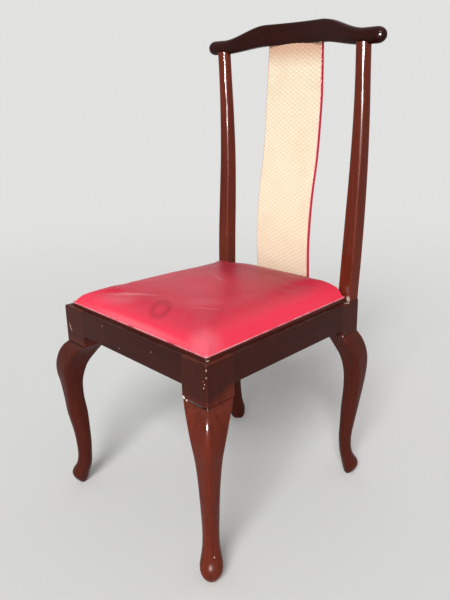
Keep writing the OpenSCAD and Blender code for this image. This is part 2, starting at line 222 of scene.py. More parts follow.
def apply_modifiers(obj):
    graph = bpy.context.evaluated_depsgraph_get()
    mesh = bpy.data.meshes.new_from_object(obj.evaluated_get(graph),
        preserve_all_data_layers=True, depsgraph=graph)
    obj.modifiers.clear()
    obj.data = mesh


def combine(obj, other, operation):
    """Adds or cuts the other shape, which is used up. Cut faces take the cutter's finish."""
    modifier = obj.modifiers.new(operation.lower(), "BOOLEAN")
    modifier.operation = operation
    modifier.object = other
    modifier.solver = "EXACT"
    modifier.material_mode = "TRANSFER"
    apply_modifiers(obj)
    bpy.data.objects.remove(other)


def divide(obj, step, low=-1.0):
    """Cuts flat faces into cells of about one step, above a height, so that wear stays local."""
    work = open_mesh(obj)
    co = coordinates(obj.data)
    for axis in range(3):
        start = max(co[:, axis].min(), low if axis == 2 else -10)
        count = int((co[:, axis].max() - start) / step)
        for k in range(1, count + 1):
            place = Vector((0, 0, 0))
            place[axis] = start + k * step - step / 2
            faces = [f for f in work.faces if f.calc_center_median().z >= low
                or max(v.co.z for v in f.verts) > low + step]
            near = [f for f in faces if min(v.co[axis] for v in f.verts) < place[axis]
                < max(v.co[axis] for v in f.verts)]
            edges = dict.fromkeys(e for f in near for e in f.edges)
            verts = dict.fromkeys(v for f in near for v in f.verts)
            normal = Vector((0, 0, 0))
            normal[axis] = 1
            bmesh.ops.bisect_plane(work, geom=[*near, *edges, *verts], plane_co=place,
                plane_no=normal, dist=1e-6)
    close_mesh(work, obj.data)


def store(obj, name, values):
    """Stores a value, or a vector, for each point of a mesh."""
    values = np.array(values, np.float32)
    kind, key = ("FLOAT_VECTOR", "vector") if values.ndim > 1 else ("FLOAT", "value")
    layer = obj.data.attributes.new(name, kind, "POINT")
    layer.data.foreach_set(key, values.reshape(-1))


# The radius of an edge that wears most, and of one too soft to wear
SHARP_RADIUS = 0.004
SOFT_RADIUS = 0.014
LEAST_SPAN = 0.0004


def mark_edges(obj, plain=None):
    """Stores at each point how sharply the surface turns there, from 0 to 1.

    plain is a test for points that stay unmarked, such as those of a filled joint line.
    """
    work = open_mesh(obj)
    turn = np.zeros(len(work.verts))
    for edge in work.edges:
        if len(edge.link_faces) != 2:
            continue
        a, b = (f.calc_center_median() for f in edge.link_faces)
        bend = edge.calc_face_angle(0) / max((a - b).length, LEAST_SPAN)
        for v in edge.verts:
            turn[v.index] = max(turn[v.index], bend)
    sharp = np.clip((turn - 1 / SOFT_RADIUS) / (1 / SHARP_RADIUS - 1 / SOFT_RADIUS), 0, 1)
    if plain:
        for v in work.verts:
            if plain(v.co):
                sharp[v.index] = 0
    work.free()
    store(obj, "edge", sharp)


def mark_painted_shade(obj, painted_shade):
    """Stores at each point how much painted shade darkens it there, from a rule for a point."""
    store(obj, "painted_shade", [painted_shade(v.co) for v in obj.data.vertices])


def shade(obj, angle=38):
    obj.data.shade_smooth()
    obj.data.set_sharp_from_angle(angle=math.radians(angle))


def coordinates(mesh):
    co = np.zeros(len(mesh.vertices) * 3)
    mesh.vertices.foreach_get("co", co)
    return co.reshape(-1, 3)


def set_coordinates(mesh, co):
    mesh.vertices.foreach_set("co", co.reshape(-1))
    mesh.update()


# ---- Node helpers -----------------------------------------------------------

def srgb(r, g, b):
    """A colour written as 0 to 255 on a screen, in the linear form that shaders take."""
    linear = [c / 255 / 12.92 if c <= 10 else ((c / 255 + 0.055) / 1.055) ** 2.4 for c in (r, g, b)]
    return (*linear, 1)


class Value:
    """One output of a node, with the arithmetic that makes new nodes from it."""

    def __init__(self, socket):
        self.socket = socket
        self.tree = socket.id_data

    def calc(self, operation, a, b=0.0):
        return node(self.tree, "ShaderNodeMath", {0: a, 1: b}, operation=operation)[0]

    def __add__(self, other):
        return self.calc("ADD", self, other)

    def __sub__(self, other):
        return self.calc("SUBTRACT", self, other)

    def __rsub__(self, other):
        return self.calc("SUBTRACT", other, self)

    def __mul__(self, other):
        return self.calc("MULTIPLY", self, other)

    def __abs__(self):
        return self.calc("ABSOLUTE", self)

    def sine(self):
        return self.calc("SINE", self)

    def larger(self, other):
        return self.calc("MAXIMUM", self, other)

    def clamped(self):
        """Keeps the sum or product that this value is between 0 and 1."""
        self.socket.node.use_clamp = True
        return self

    def eased(self, low, high, to_low=0.0, to_high=1.0):
        """Eases the range from low to high into another range."""
        return node(self.tree, "ShaderNodeMapRange", {0: self, 1: low, 2: high, 3: to_low, 4: to_high},
            interpolation_type="SMOOTHSTEP")[0]

    def vector_math(self, operation, **inputs):
        return node(self.tree, "ShaderNodeVectorMath", {0: self, **inputs}, operation=operation)

    def stretched(self, x, y, z):
        """The vector times a number on each axis; a larger one makes what follows finer."""
        return node(self.tree, "ShaderNodeVectorMath", {0: self, 1: (x, y, z)}, operation="MULTIPLY")[0]

    def length(self):
        return self.vector_math("LENGTH")["Value"]

    def turned(self, rotation):
        return node(self.tree, "ShaderNodeMapping", {"Vector": self, "Rotation": rotation})[0]

    def part(self, axis):
        return node(self.tree, "ShaderNodeSeparateXYZ", {0: self})[axis]

    def noise(self, scale, detail=2.0, distortion=0.0, output="Fac"):
        return node(self.tree, "ShaderNodeTexNoise",
            {"Vector": self, "Scale": scale, "Detail": detail, "Distortion": distortion})[output]


class Outputs:
    """A node's outputs, by name or number."""

    def __init__(self, made):
        self.made = made

    def __getitem__(self, key):
        return Value(self.made.outputs[key])


def put(value, socket):
    """Links a value to a socket, or sets the socket to a constant."""
    if isinstance(value, Value):
        socket.id_data.links.new(value.socket, socket)
    else:
        socket.default_value = value


def node(tree, kind, inputs=None, **settings):
    """Makes a node from its inputs, by name or number, and its settings."""
    made = tree.nodes.new(kind)
    for key, value in settings.items():
        setattr(made, key, value)
    for key, value in (inputs or {}).items():
        put(value, made.inputs[key])
    return Outputs(made)


def stored(place, name, output="Fac"):
    """A value that the mesh stores at its points."""
    return node(place.tree, "ShaderNodeAttribute", attribute_name=name)[output]


def blend(factor, a, b):
    """A colour between a and b."""
    return node(factor.tree, "ShaderNodeMix", {0: factor, 6: a, 7: b}, data_type="RGBA")[2]


def new_group(name, **inputs):
    """An empty node group and its inputs: a tuple makes a vector and a number makes a value."""
    group = bpy.data.node_groups.new(name, "ShaderNodeTree")
    for key, value in inputs.items():
        kind = "NodeSocketVector" if isinstance(value, tuple) else "NodeSocketFloat"
        socket = group.interface.new_socket(key.capitalize(), in_out="INPUT", socket_type=kind)
        socket.default_value = value
    given = Outputs(group.nodes.new("NodeGroupInput"))
    return [group] + [given[key.capitalize()] for key in inputs]


def close_group(group, **results):
    """Gives a group its named outputs."""
    for key in results:
        group.interface.new_socket(key.capitalize(), in_out="OUTPUT", socket_type="NodeSocketFloat")
    made = group.nodes.new("NodeGroupOutput")
    for key, value in results.items():
        put(value, made.inputs[key.capitalize()])
    return group


def use(group, vector, **inputs):
    """Places a group in the vector's tree and returns its outputs."""
    made = vector.tree.nodes.new("ShaderNodeGroup")
    made.node_tree = group
    for key, value in {"vector": vector, **inputs}.items():
        put(value, made.inputs[key.capitalize()])
    return Outputs(made)


# ---- Shared effects ---------------------------------------------------------

ORIGIN = (0, 0, 0)
TURN = 2 * math.pi


def wood_figure_group():
    """Grain that runs along Z: broad bands, fine dark pores and their relief."""
    group, vector, bands, pores = new_group("wood_figure", vector=ORIGIN, bands=1.0, pores=1.0)
    broad = vector.stretched(46, 46, 3.4).noise(1.0, 4.0, 0.7)
    wave = vector.stretched(170, 170, 7).noise(1.0, 3.0, 0.3)
    streak = vector.stretched(900, 900, 28).noise(1.0, 1.0)
    shade = ((broad * 0.65 + wave * 0.35 - 0.5) * bands + 0.5).clamped()
    pore = streak.eased(0.56, 0.68) * pores
    return close_group(group, shade=shade, pore=pore, height=wave * 0.3 - pore)


def edge_wear_group():
    """Where edges are rubbed through: the stored edge value broken up by noise."""
    group, vector, edge, amount = new_group("edge_wear", vector=ORIGIN, edge=0.0, amount=0.5)
    uneven = vector.noise(38.0, 3.0) * 0.7 + vector.noise(420.0) * 0.3
    reach = edge * amount + uneven
    return close_group(group, mask=reach.eased(1.0, 1.12), rub=reach.eased(0.72, 1.05))


def dust_group():
    """A film of dust that settles on what faces upwards, thicker in patches."""
    group, vector, amount = new_group("settled_dust", vector=ORIGIN, amount=0.3)
    level = node(group, "ShaderNodeNewGeometry")["Normal"].part("Z").eased(0.35, 0.98)
    patches = vector.noise(14.0, 4.0, 0.6).eased(0.32, 0.72)
    specks = vector.noise(900.0, 1.0).eased(0.60, 0.74)
    film = (patches * 0.75 + specks * 0.5) * level
    return close_group(group, mask=(film * amount).clamped())


def scratches_group():
    """Thin broken scratches that run mostly one way, along Z of the given vector."""
    group, vector, spread, amount = new_group("scratches", vector=ORIGIN, spread=1.0, amount=0.5)
    scaled = vector.vector_math("SCALE", Scale=spread)[0]
    bend = scaled.noise(9.0, 1.0, output="Color").stretched(0.03, 0.03, 0.03)
    pushed = node(group, "ShaderNodeVectorMath", {0: scaled, 1: bend}, operation="ADD")[0]
    thin = abs(pushed.stretched(520, 520, 9).noise(1.0, 0.0) - 0.5).eased(0.012, 0.0)
    patches = scaled.noise(11.0).eased(0.50, 0.66)
    return close_group(group, mask=(thin * patches * amount).clamped())


def worn_spot_group():
    """One worn patch: a ragged oval around a centre, with its turn and half sizes."""
    group, vector, centre, turn, size, ragged = new_group("worn_spot", vector=ORIGIN,
        centre=ORIGIN, turn=ORIGIN, size=(0.01, 0.01, 0.01), ragged=0.5)
    within = node(group, "ShaderNodeMapping", {"Vector": vector, "Location": centre,
        "Rotation": turn, "Scale": size}, vector_type="TEXTURE")[0]
    distance = within.length() + (vector.noise(330.0, 3.0) - 0.5) * 2.0 * ragged
    return close_group(group, mask=distance.eased(1.0, 0.75), distance=distance)


def vinyl_grain_group():
    """The pressed leather grain of vinyl: small cells with creases between them."""
    group, vector, cells = new_group("vinyl_grain", vector=ORIGIN, cells=700.0)
    voronoi = node(group, "ShaderNodeTexVoronoi", {"Vector": vector, "Scale": cells},
        feature="DISTANCE_TO_EDGE")
    crease = voronoi["Distance"].eased(0.16, 0.02)
    return close_group(group, height=vector.noise(120.0, 3.0) * 0.5 - crease, crease=crease)


def weave_group():
    """Crossing threads: the relief of a plain weave, its pitch in threads for each metre."""
    group, vector, threads = new_group("thread_weave", vector=ORIGIN, threads=900.0)
    turns = threads * TURN
    over = (vector.part("X") * turns).sine() * (vector.part("Y") * turns).sine()
    height = over * 0.5 + vector.noise(1500.0) * 0.6
    return close_group(group, height=height, gap=over.eased(-0.35, -0.95))


WOOD_FIGURE = wood_figure_group()
EDGE_WEAR = edge_wear_group()
DUST = dust_group()
SCRATCHES = scratches_group()
WORN_SPOT = worn_spot_group()
VINYL_GRAIN = vinyl_grain_group()
WEAVE = weave_group()


# ---- Materials --------------------------------------------------------------

def new_material(name):
    """A material with its Principled shader and its object coordinates."""
    material = bpy.data.materials.new(name)
    material.use_nodes = True
    place = node(material.node_tree, "ShaderNodeTexCoord")["Object"]
    return material, material.node_tree.nodes["Principled BSDF"], place


def set_shader(shader, **values):
    """Sets the shader's sockets by name."""
    for key, value in values.items():
        put(value, shader.inputs[key.replace("_", " ").title().replace("Ior", "IOR")])


def set_bump(shader, height, strength, depth):
    bump = node(shader.id_data, "ShaderNodeBump",
        {"Height": height, "Strength": strength, "Distance": depth})
    put(bump["Normal"], shader.inputs["Normal"])


# Dark, middle and red tones of the stain
LEG_STAIN = [srgb(66, 21, 12), srgb(112, 43, 27), srgb(138, 58, 36)]
RAIL_STAIN = [srgb(44, 14, 9), srgb(62, 22, 15), srgb(78, 30, 20)]
CREST_STAIN = [srgb(30, 9, 6), srgb(48, 14, 9), srgb(70, 24, 16)]
RUBBED_WOOD = srgb(206, 186, 174)
DUST_GREY = srgb(150, 140, 134)
# Near black, for painted shade in the quirks at the legs' shoulders and under the seat's rolled edge
PAINTED_SHADOW = srgb(20, 8, 6)
# The lowest and highest of a leg's square head
HEAD_LOW = 0.366
HEAD_HIGH = 0.446


def mahogany(name, turn, stain, spots=(), head=0.0, shank_shade=0.0, rise=0.0):
    """Dark red stained wood under a worn gloss finish. turn lays the grain's Z along the piece.

    head says how much darker a leg is at its square head; shank sets the painted shade that darkens it
    below the head. The head's darker tone starts higher towards the back of its side by the slope rise.
    """
    material, shader, place = new_material(name)
    along = place.turned(turn)
    figure = use(WOOD_FIGURE, along, bands=0.65, pores=1.0)
    worn = use(EDGE_WEAR, place, edge=stored(place, "edge"), amount=0.36)
    dust = use(DUST, place, amount=0.22)["Mask"]
    lines = use(SCRATCHES, along, spread=1.0, amount=0.16)["Mask"]
    dark, middle, red = stain
    colour = blend(figure["Shade"].eased(0.20, 0.66), dark, middle)
    colour = blend(figure["Shade"].eased(0.50, 0.90, 0.0, 0.7), colour, red)
    colour = blend(figure["Pore"] * 0.25, colour, dark)
    if head:
        height = place.part("Z")
        start = height - (place.part("Y") - FRONT_Y) * rise
        at_head = start.eased(HEAD_LOW - 0.010, HEAD_LOW + 0.018)
        at_head *= height.eased(HEAD_HIGH + 0.012, HEAD_HIGH)
        colour = blend(at_head * head, colour, RAIL_STAIN[1])
        # Painted shade below the head
        below = height.eased(HEAD_LOW + 0.010, HEAD_LOW - 0.006)
        colour = blend(below * shank_shade, colour, RAIL_STAIN[1])
    colour = blend(worn["Rub"] * 0.45, colour, red)
    rubbed = worn["Mask"]
    for centre, size in spots:
        spot = use(WORN_SPOT, place, centre=centre, size=size, ragged=0.8)
        rubbed = rubbed.larger(spot["Mask"])
    colour = blend(rubbed * 0.7, colour, RUBBED_WOOD)
    colour = blend(lines * 0.6, colour, DUST_GREY)
    colour = blend(dust * 0.35, colour, DUST_GREY)
    # Painted shade in the quirk at the shoulder, from the stored rule
    colour = blend(stored(place, "painted_shade") * 0.85, colour, PAINTED_SHADOW)
    smears = along.stretched(22, 22, 9).noise(1.0, 3.0)
    rough = smears.eased(0.3, 0.7, 0.24, 0.34) + rubbed * 0.35 + dust * 0.3
    set_bump(shader, figure["Height"] - rubbed * 1.5 + place.noise(60.0), strength=0.07, depth=0.0003)
    set_shader(shader, base_color=colour, roughness=rough.clamped(), coat_roughness=0.10,
        coat_weight=(0.15 - rubbed * 0.14).clamped(), specular_ior_level=0.03)
    return material


def bare_wood(name, turn, light, dark):
    """Unfinished or freshly broken wood."""
    material, shader, place = new_material(name)
    figure = use(WOOD_FIGURE, place.turned(turn), bands=1.5, pores=0.6)
    colour = blend(figure["Shade"], dark, light)
    colour = blend(figure["Pore"] * 0.5, colour, dark)
    colour = blend(use(DUST, place, amount=0.5)["Mask"] * 0.4, colour, DUST_GREY)
    set_bump(shader, figure["Height"], strength=0.35, depth=0.0006)
    set_shader(shader, base_color=colour, roughness=figure["Shade"].eased(0.2, 0.8, 0.62, 0.82))
    return material


# How far apart the glue lines lie
PLY = 0.0024


def plywood(name):
    """Rotary-cut face veneer with dark glue lines between the plies."""
    material, shader, place = new_material(name)
    figure = use(WOOD_FIGURE, place.turned(ALONG_Y), bands=1.2, pores=0.4)
    glue = (place.part("Z") * (TURN / PLY)).sine()
    colour = blend(figure["Shade"], srgb(150, 112, 70), srgb(205, 172, 124))
    colour = blend(glue.eased(0.72, 0.95, 0.0, 0.35), colour, srgb(92, 62, 38))
    set_bump(shader, figure["Height"], strength=0.25, depth=0.0005)
    set_shader(shader, base_color=colour, roughness=figure["Shade"].eased(0.2, 0.8, 0.6, 0.78))
    return material


VINYL_DEEP = srgb(140, 14, 36)
VINYL_RED = srgb(204, 30, 58)
VINYL_BRIGHT = srgb(220, 42, 70)
VINYL_HIGHLIGHT = srgb(246, 56, 84)
VINYL_HAZE = srgb(208, 112, 128)
VINYL_PALE = srgb(246, 164, 172)
# Painted highlight where the seat's vinyl turns brighter over the front and right edges, and painted shade
# where it is darker at the rear
FRONT_HIGHLIGHT = (-0.165, -0.228)
RIGHT_HIGHLIGHT = (0.140, 0.200)
REAR_SHADE = (-0.060, 0.160, 0.0, 0.80)
RIGHT_FADE = (0.195, 0.095)


def red_vinyl(name, haze, marks=(), scuffs=(), rub=0.25, painted_light=False):
    """Glossy red vinyl with a pressed grain, a hazy film, wiped rings and scuffs.

    Where painted light is asked for, a painted highlight brightens the seat over its front and right edges
    and painted shade darkens its rear.
    Its wall, below the rolled edge, has painted shade: near black at the top and brown-red lower down.
    """
    material, shader, place = new_material(name)
    grain = use(VINYL_GRAIN, place, cells=760.0)
    film = use(DUST, place, amount=0.6)["Mask"] * haze
    lines = use(SCRATCHES, place, spread=0.8, amount=0.5)["Mask"]
    worn = use(EDGE_WEAR, place, edge=stored(place, "edge"), amount=0.45)["Rub"]
    cloudy = place.noise(7.0, 3.0, 0.4)
    colour = blend(cloudy.eased(0.3, 0.7), VINYL_RED, VINYL_BRIGHT)
    colour = blend(grain["Crease"] * 0.40, colour, VINYL_DEEP)
    if painted_light:
        # Painted highlight over the front and right edges, and painted shade at the rear
        x, y = place.part("X"), place.part("Y")
        edges = y.eased(*FRONT_HIGHLIGHT).larger(x.eased(*RIGHT_HIGHLIGHT))
        rear = y.eased(*REAR_SHADE) * x.eased(*RIGHT_FADE)
        colour = blend(edges * 0.9, colour, VINYL_HIGHLIGHT)
        colour = blend(rear, colour, VINYL_DEEP)
        film = film * (1.0 - edges * 0.8) * (1.0 - rear)
    # Pale rubbed edges; on the rolled edge, turned up high, this is partly a painted highlight
    colour = blend(worn * rub, colour, VINYL_PALE)
    for centre, turn, size, inner, outer in marks:
        spot = use(WORN_SPOT, place, centre=centre, turn=turn, size=size, ragged=0.25)["Distance"]
        ring = spot.eased(inner - 0.25, inner + 0.15) * spot.eased(outer + 0.25, outer - 0.1)
        film = film * (1.0 - ring * 0.8)
        colour = blend(ring * 0.35, colour, VINYL_DEEP)
    film = (film + lines * haze).clamped()
    colour = blend(film, colour, VINYL_HAZE)
    pale = 0.0
    # Pale marks: scuffs, and painted highlights along the seat's shoulders and front corner
    for centre, turn, size, strength in scuffs:
        spot = use(WORN_SPOT, place, centre=centre, turn=turn, size=size, ragged=0.3)["Distance"]
        pale = (spot.eased(1.0, 0.1, 0.0, strength) + pale).clamped()
    if scuffs:
        colour = blend(pale, colour, VINYL_PALE)
    # Painted shade on the seat's wall: near black under the rolled edge, brown-red lower down
    painted_shade = stored(place, "painted_shade")
    colour = blend(painted_shade.eased(0.0, 0.5, 0.0, 0.92), colour, PAINTED_SHADOW)
    colour = blend(painted_shade.eased(0.5, 1.0), colour, RAIL_STAIN[2])
    rough = (cloudy.eased(0.3, 0.7, 0.32, 0.38) + film * 0.25).clamped()
    set_bump(shader, grain["Height"], strength=0.18, depth=0.00025)
    set_shader(shader, base_color=colour, roughness=rough, coat_weight=0.08, coat_roughness=0.2,
        specular_ior_level=0.14)
    return material


CREAM_GROUND = srgb(246, 226, 195)
CREAM_DOT = srgb(253, 244, 218)
CREAM_SHADE = srgb(214, 174, 140)
CREAM_PAINTED_SHADE = srgb(198, 132, 100)
# Heights where the painted shade under the crest starts and is deepest
SHADE_LOW = 0.930
SHADE_HIGH = 0.984


def cream_fabric(name):
    """Cream upholstery cloth with raised pale dots on a woven ground, and painted shade under the crest.
    """
    material, shader, place = new_material(name)
    dots = stored(place, "dot")
    cloth = stored(place, "cloth_place", "Vector")
    weave = use(WEAVE, cloth.turned((0, 0, math.radians(45))), threads=720.0)
    colour = blend(dots.eased(0.05, 0.8), CREAM_GROUND, CREAM_DOT)
    colour = blend(weave["Gap"] * 0.30, colour, CREAM_SHADE)
    colour = blend(place.noise(12.0, 3.0).eased(0.45, 0.75, 0.0, 0.16), colour, CREAM_SHADE)
    # Painted shade under the crest
    colour = blend(place.part("Z").eased(SHADE_LOW, SHADE_HIGH, 0.0, 0.65), colour, CREAM_PAINTED_SHADE)
    set_bump(shader, weave["Height"], strength=0.35, depth=0.0004)
    set_shader(shader, base_color=colour, roughness=dots.eased(0.0, 1.0, 0.86, 0.70),
        sheen_weight=0.15, sheen_roughness=0.4, specular_ior_level=0.06)
    return material


def dust_cloth(name):
    """Thin black non-woven cloth, grey with dust in patches."""
    material, shader, place = new_material(name)
    weave = use(WEAVE, place, threads=420.0)
    grey = place.noise(18.0, 4.0).eased(0.4, 0.75)
    colour = blend(weave["Gap"], srgb(44, 41, 40), srgb(20, 18, 18))
    colour = blend(grey * 0.45, colour, srgb(98, 92, 88))
    set_bump(shader, weave["Height"], strength=0.4, depth=0.0005)
    set_shader(shader, base_color=colour, roughness=grey.eased(0.0, 1.0, 0.8, 0.95))
    return material


def steel(name):
    """Zinc-plated steel, dulled, with a little rust."""
    material, shader, place = new_material(name)
    spots = place.noise(500.0, 3.0)
    rust = spots.eased(0.60, 0.70)
    brushed = place.stretched(1400, 1400, 200).noise(1.0, 1.0)
    colour = blend(brushed, srgb(128, 127, 124), srgb(176, 174, 170))
    colour = blend(rust, colour, srgb(108, 62, 36))
    set_bump(shader, spots, strength=0.2, depth=0.0002)
    set_shader(shader, base_color=colour, metallic=(1.0 - rust).clamped(),
        roughness=brushed.eased(0.2, 0.8, 0.30, 0.42) + rust * 0.4)
    return material


ALONG_Z = (0, 0, 0)
ALONG_X = (0, math.radians(90), 0)
ALONG_Y = (math.radians(90), 0, 0)

# Rubbed places on the uprights: centre and half sizes
POST_RUBS = [
    ((0.2065, 0.1960, 0.4570), (0.0048, 0.0040, 0.0070)),
    ((0.2085, 0.1880, 0.4510), (0.0038, 0.0055, 0.0030)),
    ((-0.2065, 0.1960, 0.4520), (0.0035, 0.0040, 0.0030)),
]


def level_turn(degrees):
    """A turn about the vertical."""
    return (0, 0, math.radians(degrees))


# A ring where the film was wiped off: centre, turn, half sizes, inner and outer edge of the ring
SEAT_MARKS = [((0.026, -0.1755, 0.483), level_turn(-38), (0.037, 0.0240, 0.05), 0.50, 0.90)]
# Pale marks on the seat, partly scuffs and partly painted highlights along the cushion's shoulders and
# front corner: centre, turn, half sizes and strength
SEAT_SCUFFS_AND_HIGHLIGHTS = [
    ((-0.085, -0.165, 0.484), level_turn(23), (0.095, 0.0070, 0.05), 0.34),
    ((-0.100, -0.190, 0.482), level_turn(20), (0.080, 0.0280, 0.05), 0.16),
    ((0.010, -0.2260, 0.472), level_turn(0), (0.230, 0.0110, 0.05), 0.30),
    ((0.195, -0.2100, 0.468), level_turn(-42), (0.060, 0.0480, 0.05), 0.26),
    ((0.110, -0.130, 0.486), level_turn(32), (0.050, 0.0045, 0.05), 0.22),
    ((0.085, -0.110, 0.486), level_turn(38), (0.060, 0.0300, 0.05), 0.12),
    ((-0.020, 0.020, 0.490), level_turn(-20), (0.080, 0.0080, 0.05), 0.12),
]

# The front right leg stays lighter below its head; the other legs get painted shade there
near_finish = mahogany("mahogany_front_right", ALONG_Z, LEG_STAIN, head=0.93, rise=0.30)
upright_finish = mahogany("mahogany_upright", ALONG_Z, LEG_STAIN, POST_RUBS, head=0.93, shank_shade=0.72)
across_finish = mahogany("mahogany_across", ALONG_X, RAIL_STAIN)
deep_finish = mahogany("mahogany_deep", ALONG_Y, RAIL_STAIN)
crest_finish = mahogany("mahogany_crest", ALONG_X, CREST_STAIN)
chip_finish = bare_wood("chipped_wood", ALONG_Z, srgb(224, 203, 190), srgb(180, 150, 134))
# The crack at the front right shoulder is painted near black: painted shade in the crack
crack_shade_finish = bare_wood("shaded_crack", ALONG_Z, srgb(40, 16, 11), srgb(20, 8, 6))
block_finish = bare_wood("block_wood", ALONG_X, srgb(178, 138, 92), srgb(120, 84, 52))
plywood_finish = plywood("plywood")
seat_vinyl = red_vinyl("seat_vinyl", haze=0.24, marks=SEAT_MARKS, scuffs=SEAT_SCUFFS_AND_HIGHLIGHTS, painted_light=True)
# The rolled edge is turned pale pink all round: partly worn vinyl and partly a painted highlight along the
# roll
roll_vinyl = red_vinyl("roll_vinyl", haze=0.4, rub=0.75)
splat_vinyl = red_vinyl("splat_vinyl", haze=0.2)
cream_cloth = cream_fabric("cream_fabric")
under_cloth = dust_cloth("dust_cloth")
steel_finish = steel("dull_steel")


def finish_piece(obj, material, replaced, edges=True, angle=38, plain=None, painted_shade=None):
    """Shading, finish, slot and body of a piece that stands for CAD nodes."""
    if edges:
        mark_edges(obj, plain)
    if painted_shade:
        mark_painted_shade(obj, painted_shade)
    shade(obj, angle)
    if obj.data.materials:
        obj.data.materials[0] = material
    else:
        obj.data.materials.append(material)
    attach(obj, "root")
    if replaced:
        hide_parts(*replaced)


# ---- Damage -----------------------------------------------------------------

def chip(obj, centre, size, turn, seed, finish=chip_finish):
    """Knocks out a ragged chip. size is its half sizes, and turn is in degrees."""
    work = bmesh.new()
    bmesh.ops.create_icosphere(work, subdivisions=2, radius=1.0)
    about_x, about_y, about_z = (Matrix.Rotation(math.radians(a), 3, axis) for a, axis in zip(turn, "XYZ"))
    rotation = about_z @ about_y @ about_x
    for v in work.verts:
        ragged = 1 + 0.45 * noise.noise(v.co * 1.7 + Vector((seed * 3.1, seed * 1.7, seed)))
        shaped = Vector((v.co.x * size[0], v.co.y * size[1], v.co.z * size[2])) * ragged
        v.co = rotation @ shaped + Vector(centre)
    mesh = bpy.data.meshes.new("cutter")
    close_mesh(work, mesh)
    mesh.materials.append(finish)
    combine(obj, add_object("cutter", mesh), "DIFFERENCE")


# ---- Legs and posts -----------------------------------------------------------

FRONT_SHOULDER = 0.365
REAR_SHOULDER = 0.377
FRONT_SWAY = 0.003
REAR_SWAY = 0.020
LEG_STEPS = 6

# Stations of a cabriole leg, in millimetres: height, reach outwards and inwards from the
# frame's corner along the diagonal, and breadth across it; the last value is roundness
FRONT_LEG = [
    (0, 7, -10, 19, 1), (6, 13, -12, 28, 1), (14, 19, -15, 38, 1), (24, 22, -18, 45, 1),
    (34, 19, -21.5, 46.5, 1), (47, 10.5, -25, 42.5, 1), (61, 6, -27, 38, 1),
    (78, 4, -28, 35, 1), (105, 5, -29.5, 34, 1), (140, 9, -29, 36, 0.95),
    (185, 18.5, -27.5, 39, 0.8), (225, 22.5, -22.5, 44, 0.68), (262, 27.5, -23, 51, 0.55),
    (290, 33, -30, 60, 0.46), (314, 32, -41, 70, 0.38), (337, 24.5, -59, 80, 0.3),
    (354, 13, -74, 89, 0.2), (365, -0.7, -86, 94.5, 0.05)]
REAR_LEG = [
    (0, 6, -12, 24, 1), (9, 14, -15, 36, 1), (21, 20, -18, 42, 1), (33, 19, -21, 43, 1),
    (46, 10, -24, 40, 1), (60, 4, -26.5, 36, 1), (78, 1, -28.5, 33.5, 1), (105, 1, -30, 33, 1),
    (140, 6, -29, 35, 0.95), (185, 13.5, -28, 39, 0.8), (228, 20.5, -25, 44, 0.68),
    (266, 26, -25.5, 51, 0.55), (294, 28, -30, 58, 0.46), (318, 27, -38, 67, 0.38),
    (340, 21.5, -50.5, 75, 0.3), (360, 12, -63, 80, 0.2), (377, -0.6, -77, 81.8, 0.05)]
HEAD_EASING = 0.04
# The quirk at the shoulder, where the head starts
SHOULDER_STEP = 0.0012
TOP_ROUND = 0.0032
# How far a cutter reaches past what it cuts, at an edge and over the seat
PAST_EDGE = 0.002
PAST_SEAT = 0.020


def leg_ring(corner, station, sway):
    z, out, back, breadth = (v * MM for v in station[:4])
    middle = out - breadth / 2
    inner = middle - back
    aside = sway * max(0, 1 - z / RAIL_BOTTOM) ** 1.2
    ring = []
    for cu, cv in rounded_diamond(min(1, station[4])):
        u = middle + cu * (breadth / 2 if cu > 0 else inner)
        ring.append((*on_diagonal(corner, u, aside + cv * breadth / 2), z))
    return ring


def head_ring(corner, head, z, inset=0.0):
    """One ring of a leg's square head, whose two outer faces are flush with the rails."""
    reach = (head / 2 - inset) / flat_distance(HEAD_EASING)
    return [(*on_diagonal(corner, u * reach - head / ROOT2, v * reach), z)
        for u, v in rounded_diamond(HEAD_EASING)]


def cabriole(name, corner, stations, head, shoulder, sway, rounded_top):
    rings = [leg_ring(corner, station, sway) for station in smooth_run(stations, LEG_STEPS)]
    rings.append(head_ring(corner, head, shoulder + SHOULDER_STEP / 3, SHOULDER_STEP))
    rings.append(head_ring(corner, head, shoulder + SHOULDER_STEP))
    rings.append(head_ring(corner, head, shoulder + 2.5 * SHOULDER_STEP))
    rings.append(head_ring(corner, head, RAIL_BOTTOM))
    if rounded_top:
        for inset, z in arc(TOP_ROUND, RAIL_TOP - TOP_ROUND, TOP_ROUND, 180, 90, 5):
            rings.append(head_ring(corner, head, z, inset))
    else:
        rings.append(head_ring(corner, head, RAIL_TOP))
    return loft(name, rings)


POST_SPACING = 0.400
# Stations of the right post, in millimetres: distance out from half the spacing, distance
# behind the frame's rear face, height, half its side and the radius of its edges
POST = [
    (-5.85, -16.35, 444, 16.3, 4), (-5.8, -16.3, 465, 16.3, 4), (-4, -12.5, 540, 16.4, 4.6),
    (-3, -6.5, 640, 16.1, 5.8), (-2.2, -2, 740, 15.6, 8.2), (-1, -1.4, 840, 15.2, 11.6),
    (-0.4, -3.4, 915, 15, 14), (0, -6, 979, 15, 14.98)]
POST_STEPS = 10
POST_FOOT = POST[0]


def post_rings(side):
    rings = []
    for x, y, z, half, radius in smooth_run(POST, POST_STEPS):
        rings.append([(side * (POST_SPACING / 2 + (x + px) * MM), REAR_Y + (y + py) * MM, z * MM)
            for px, py in rounded_square(half, min(radius, half * 0.999))])
    return rings


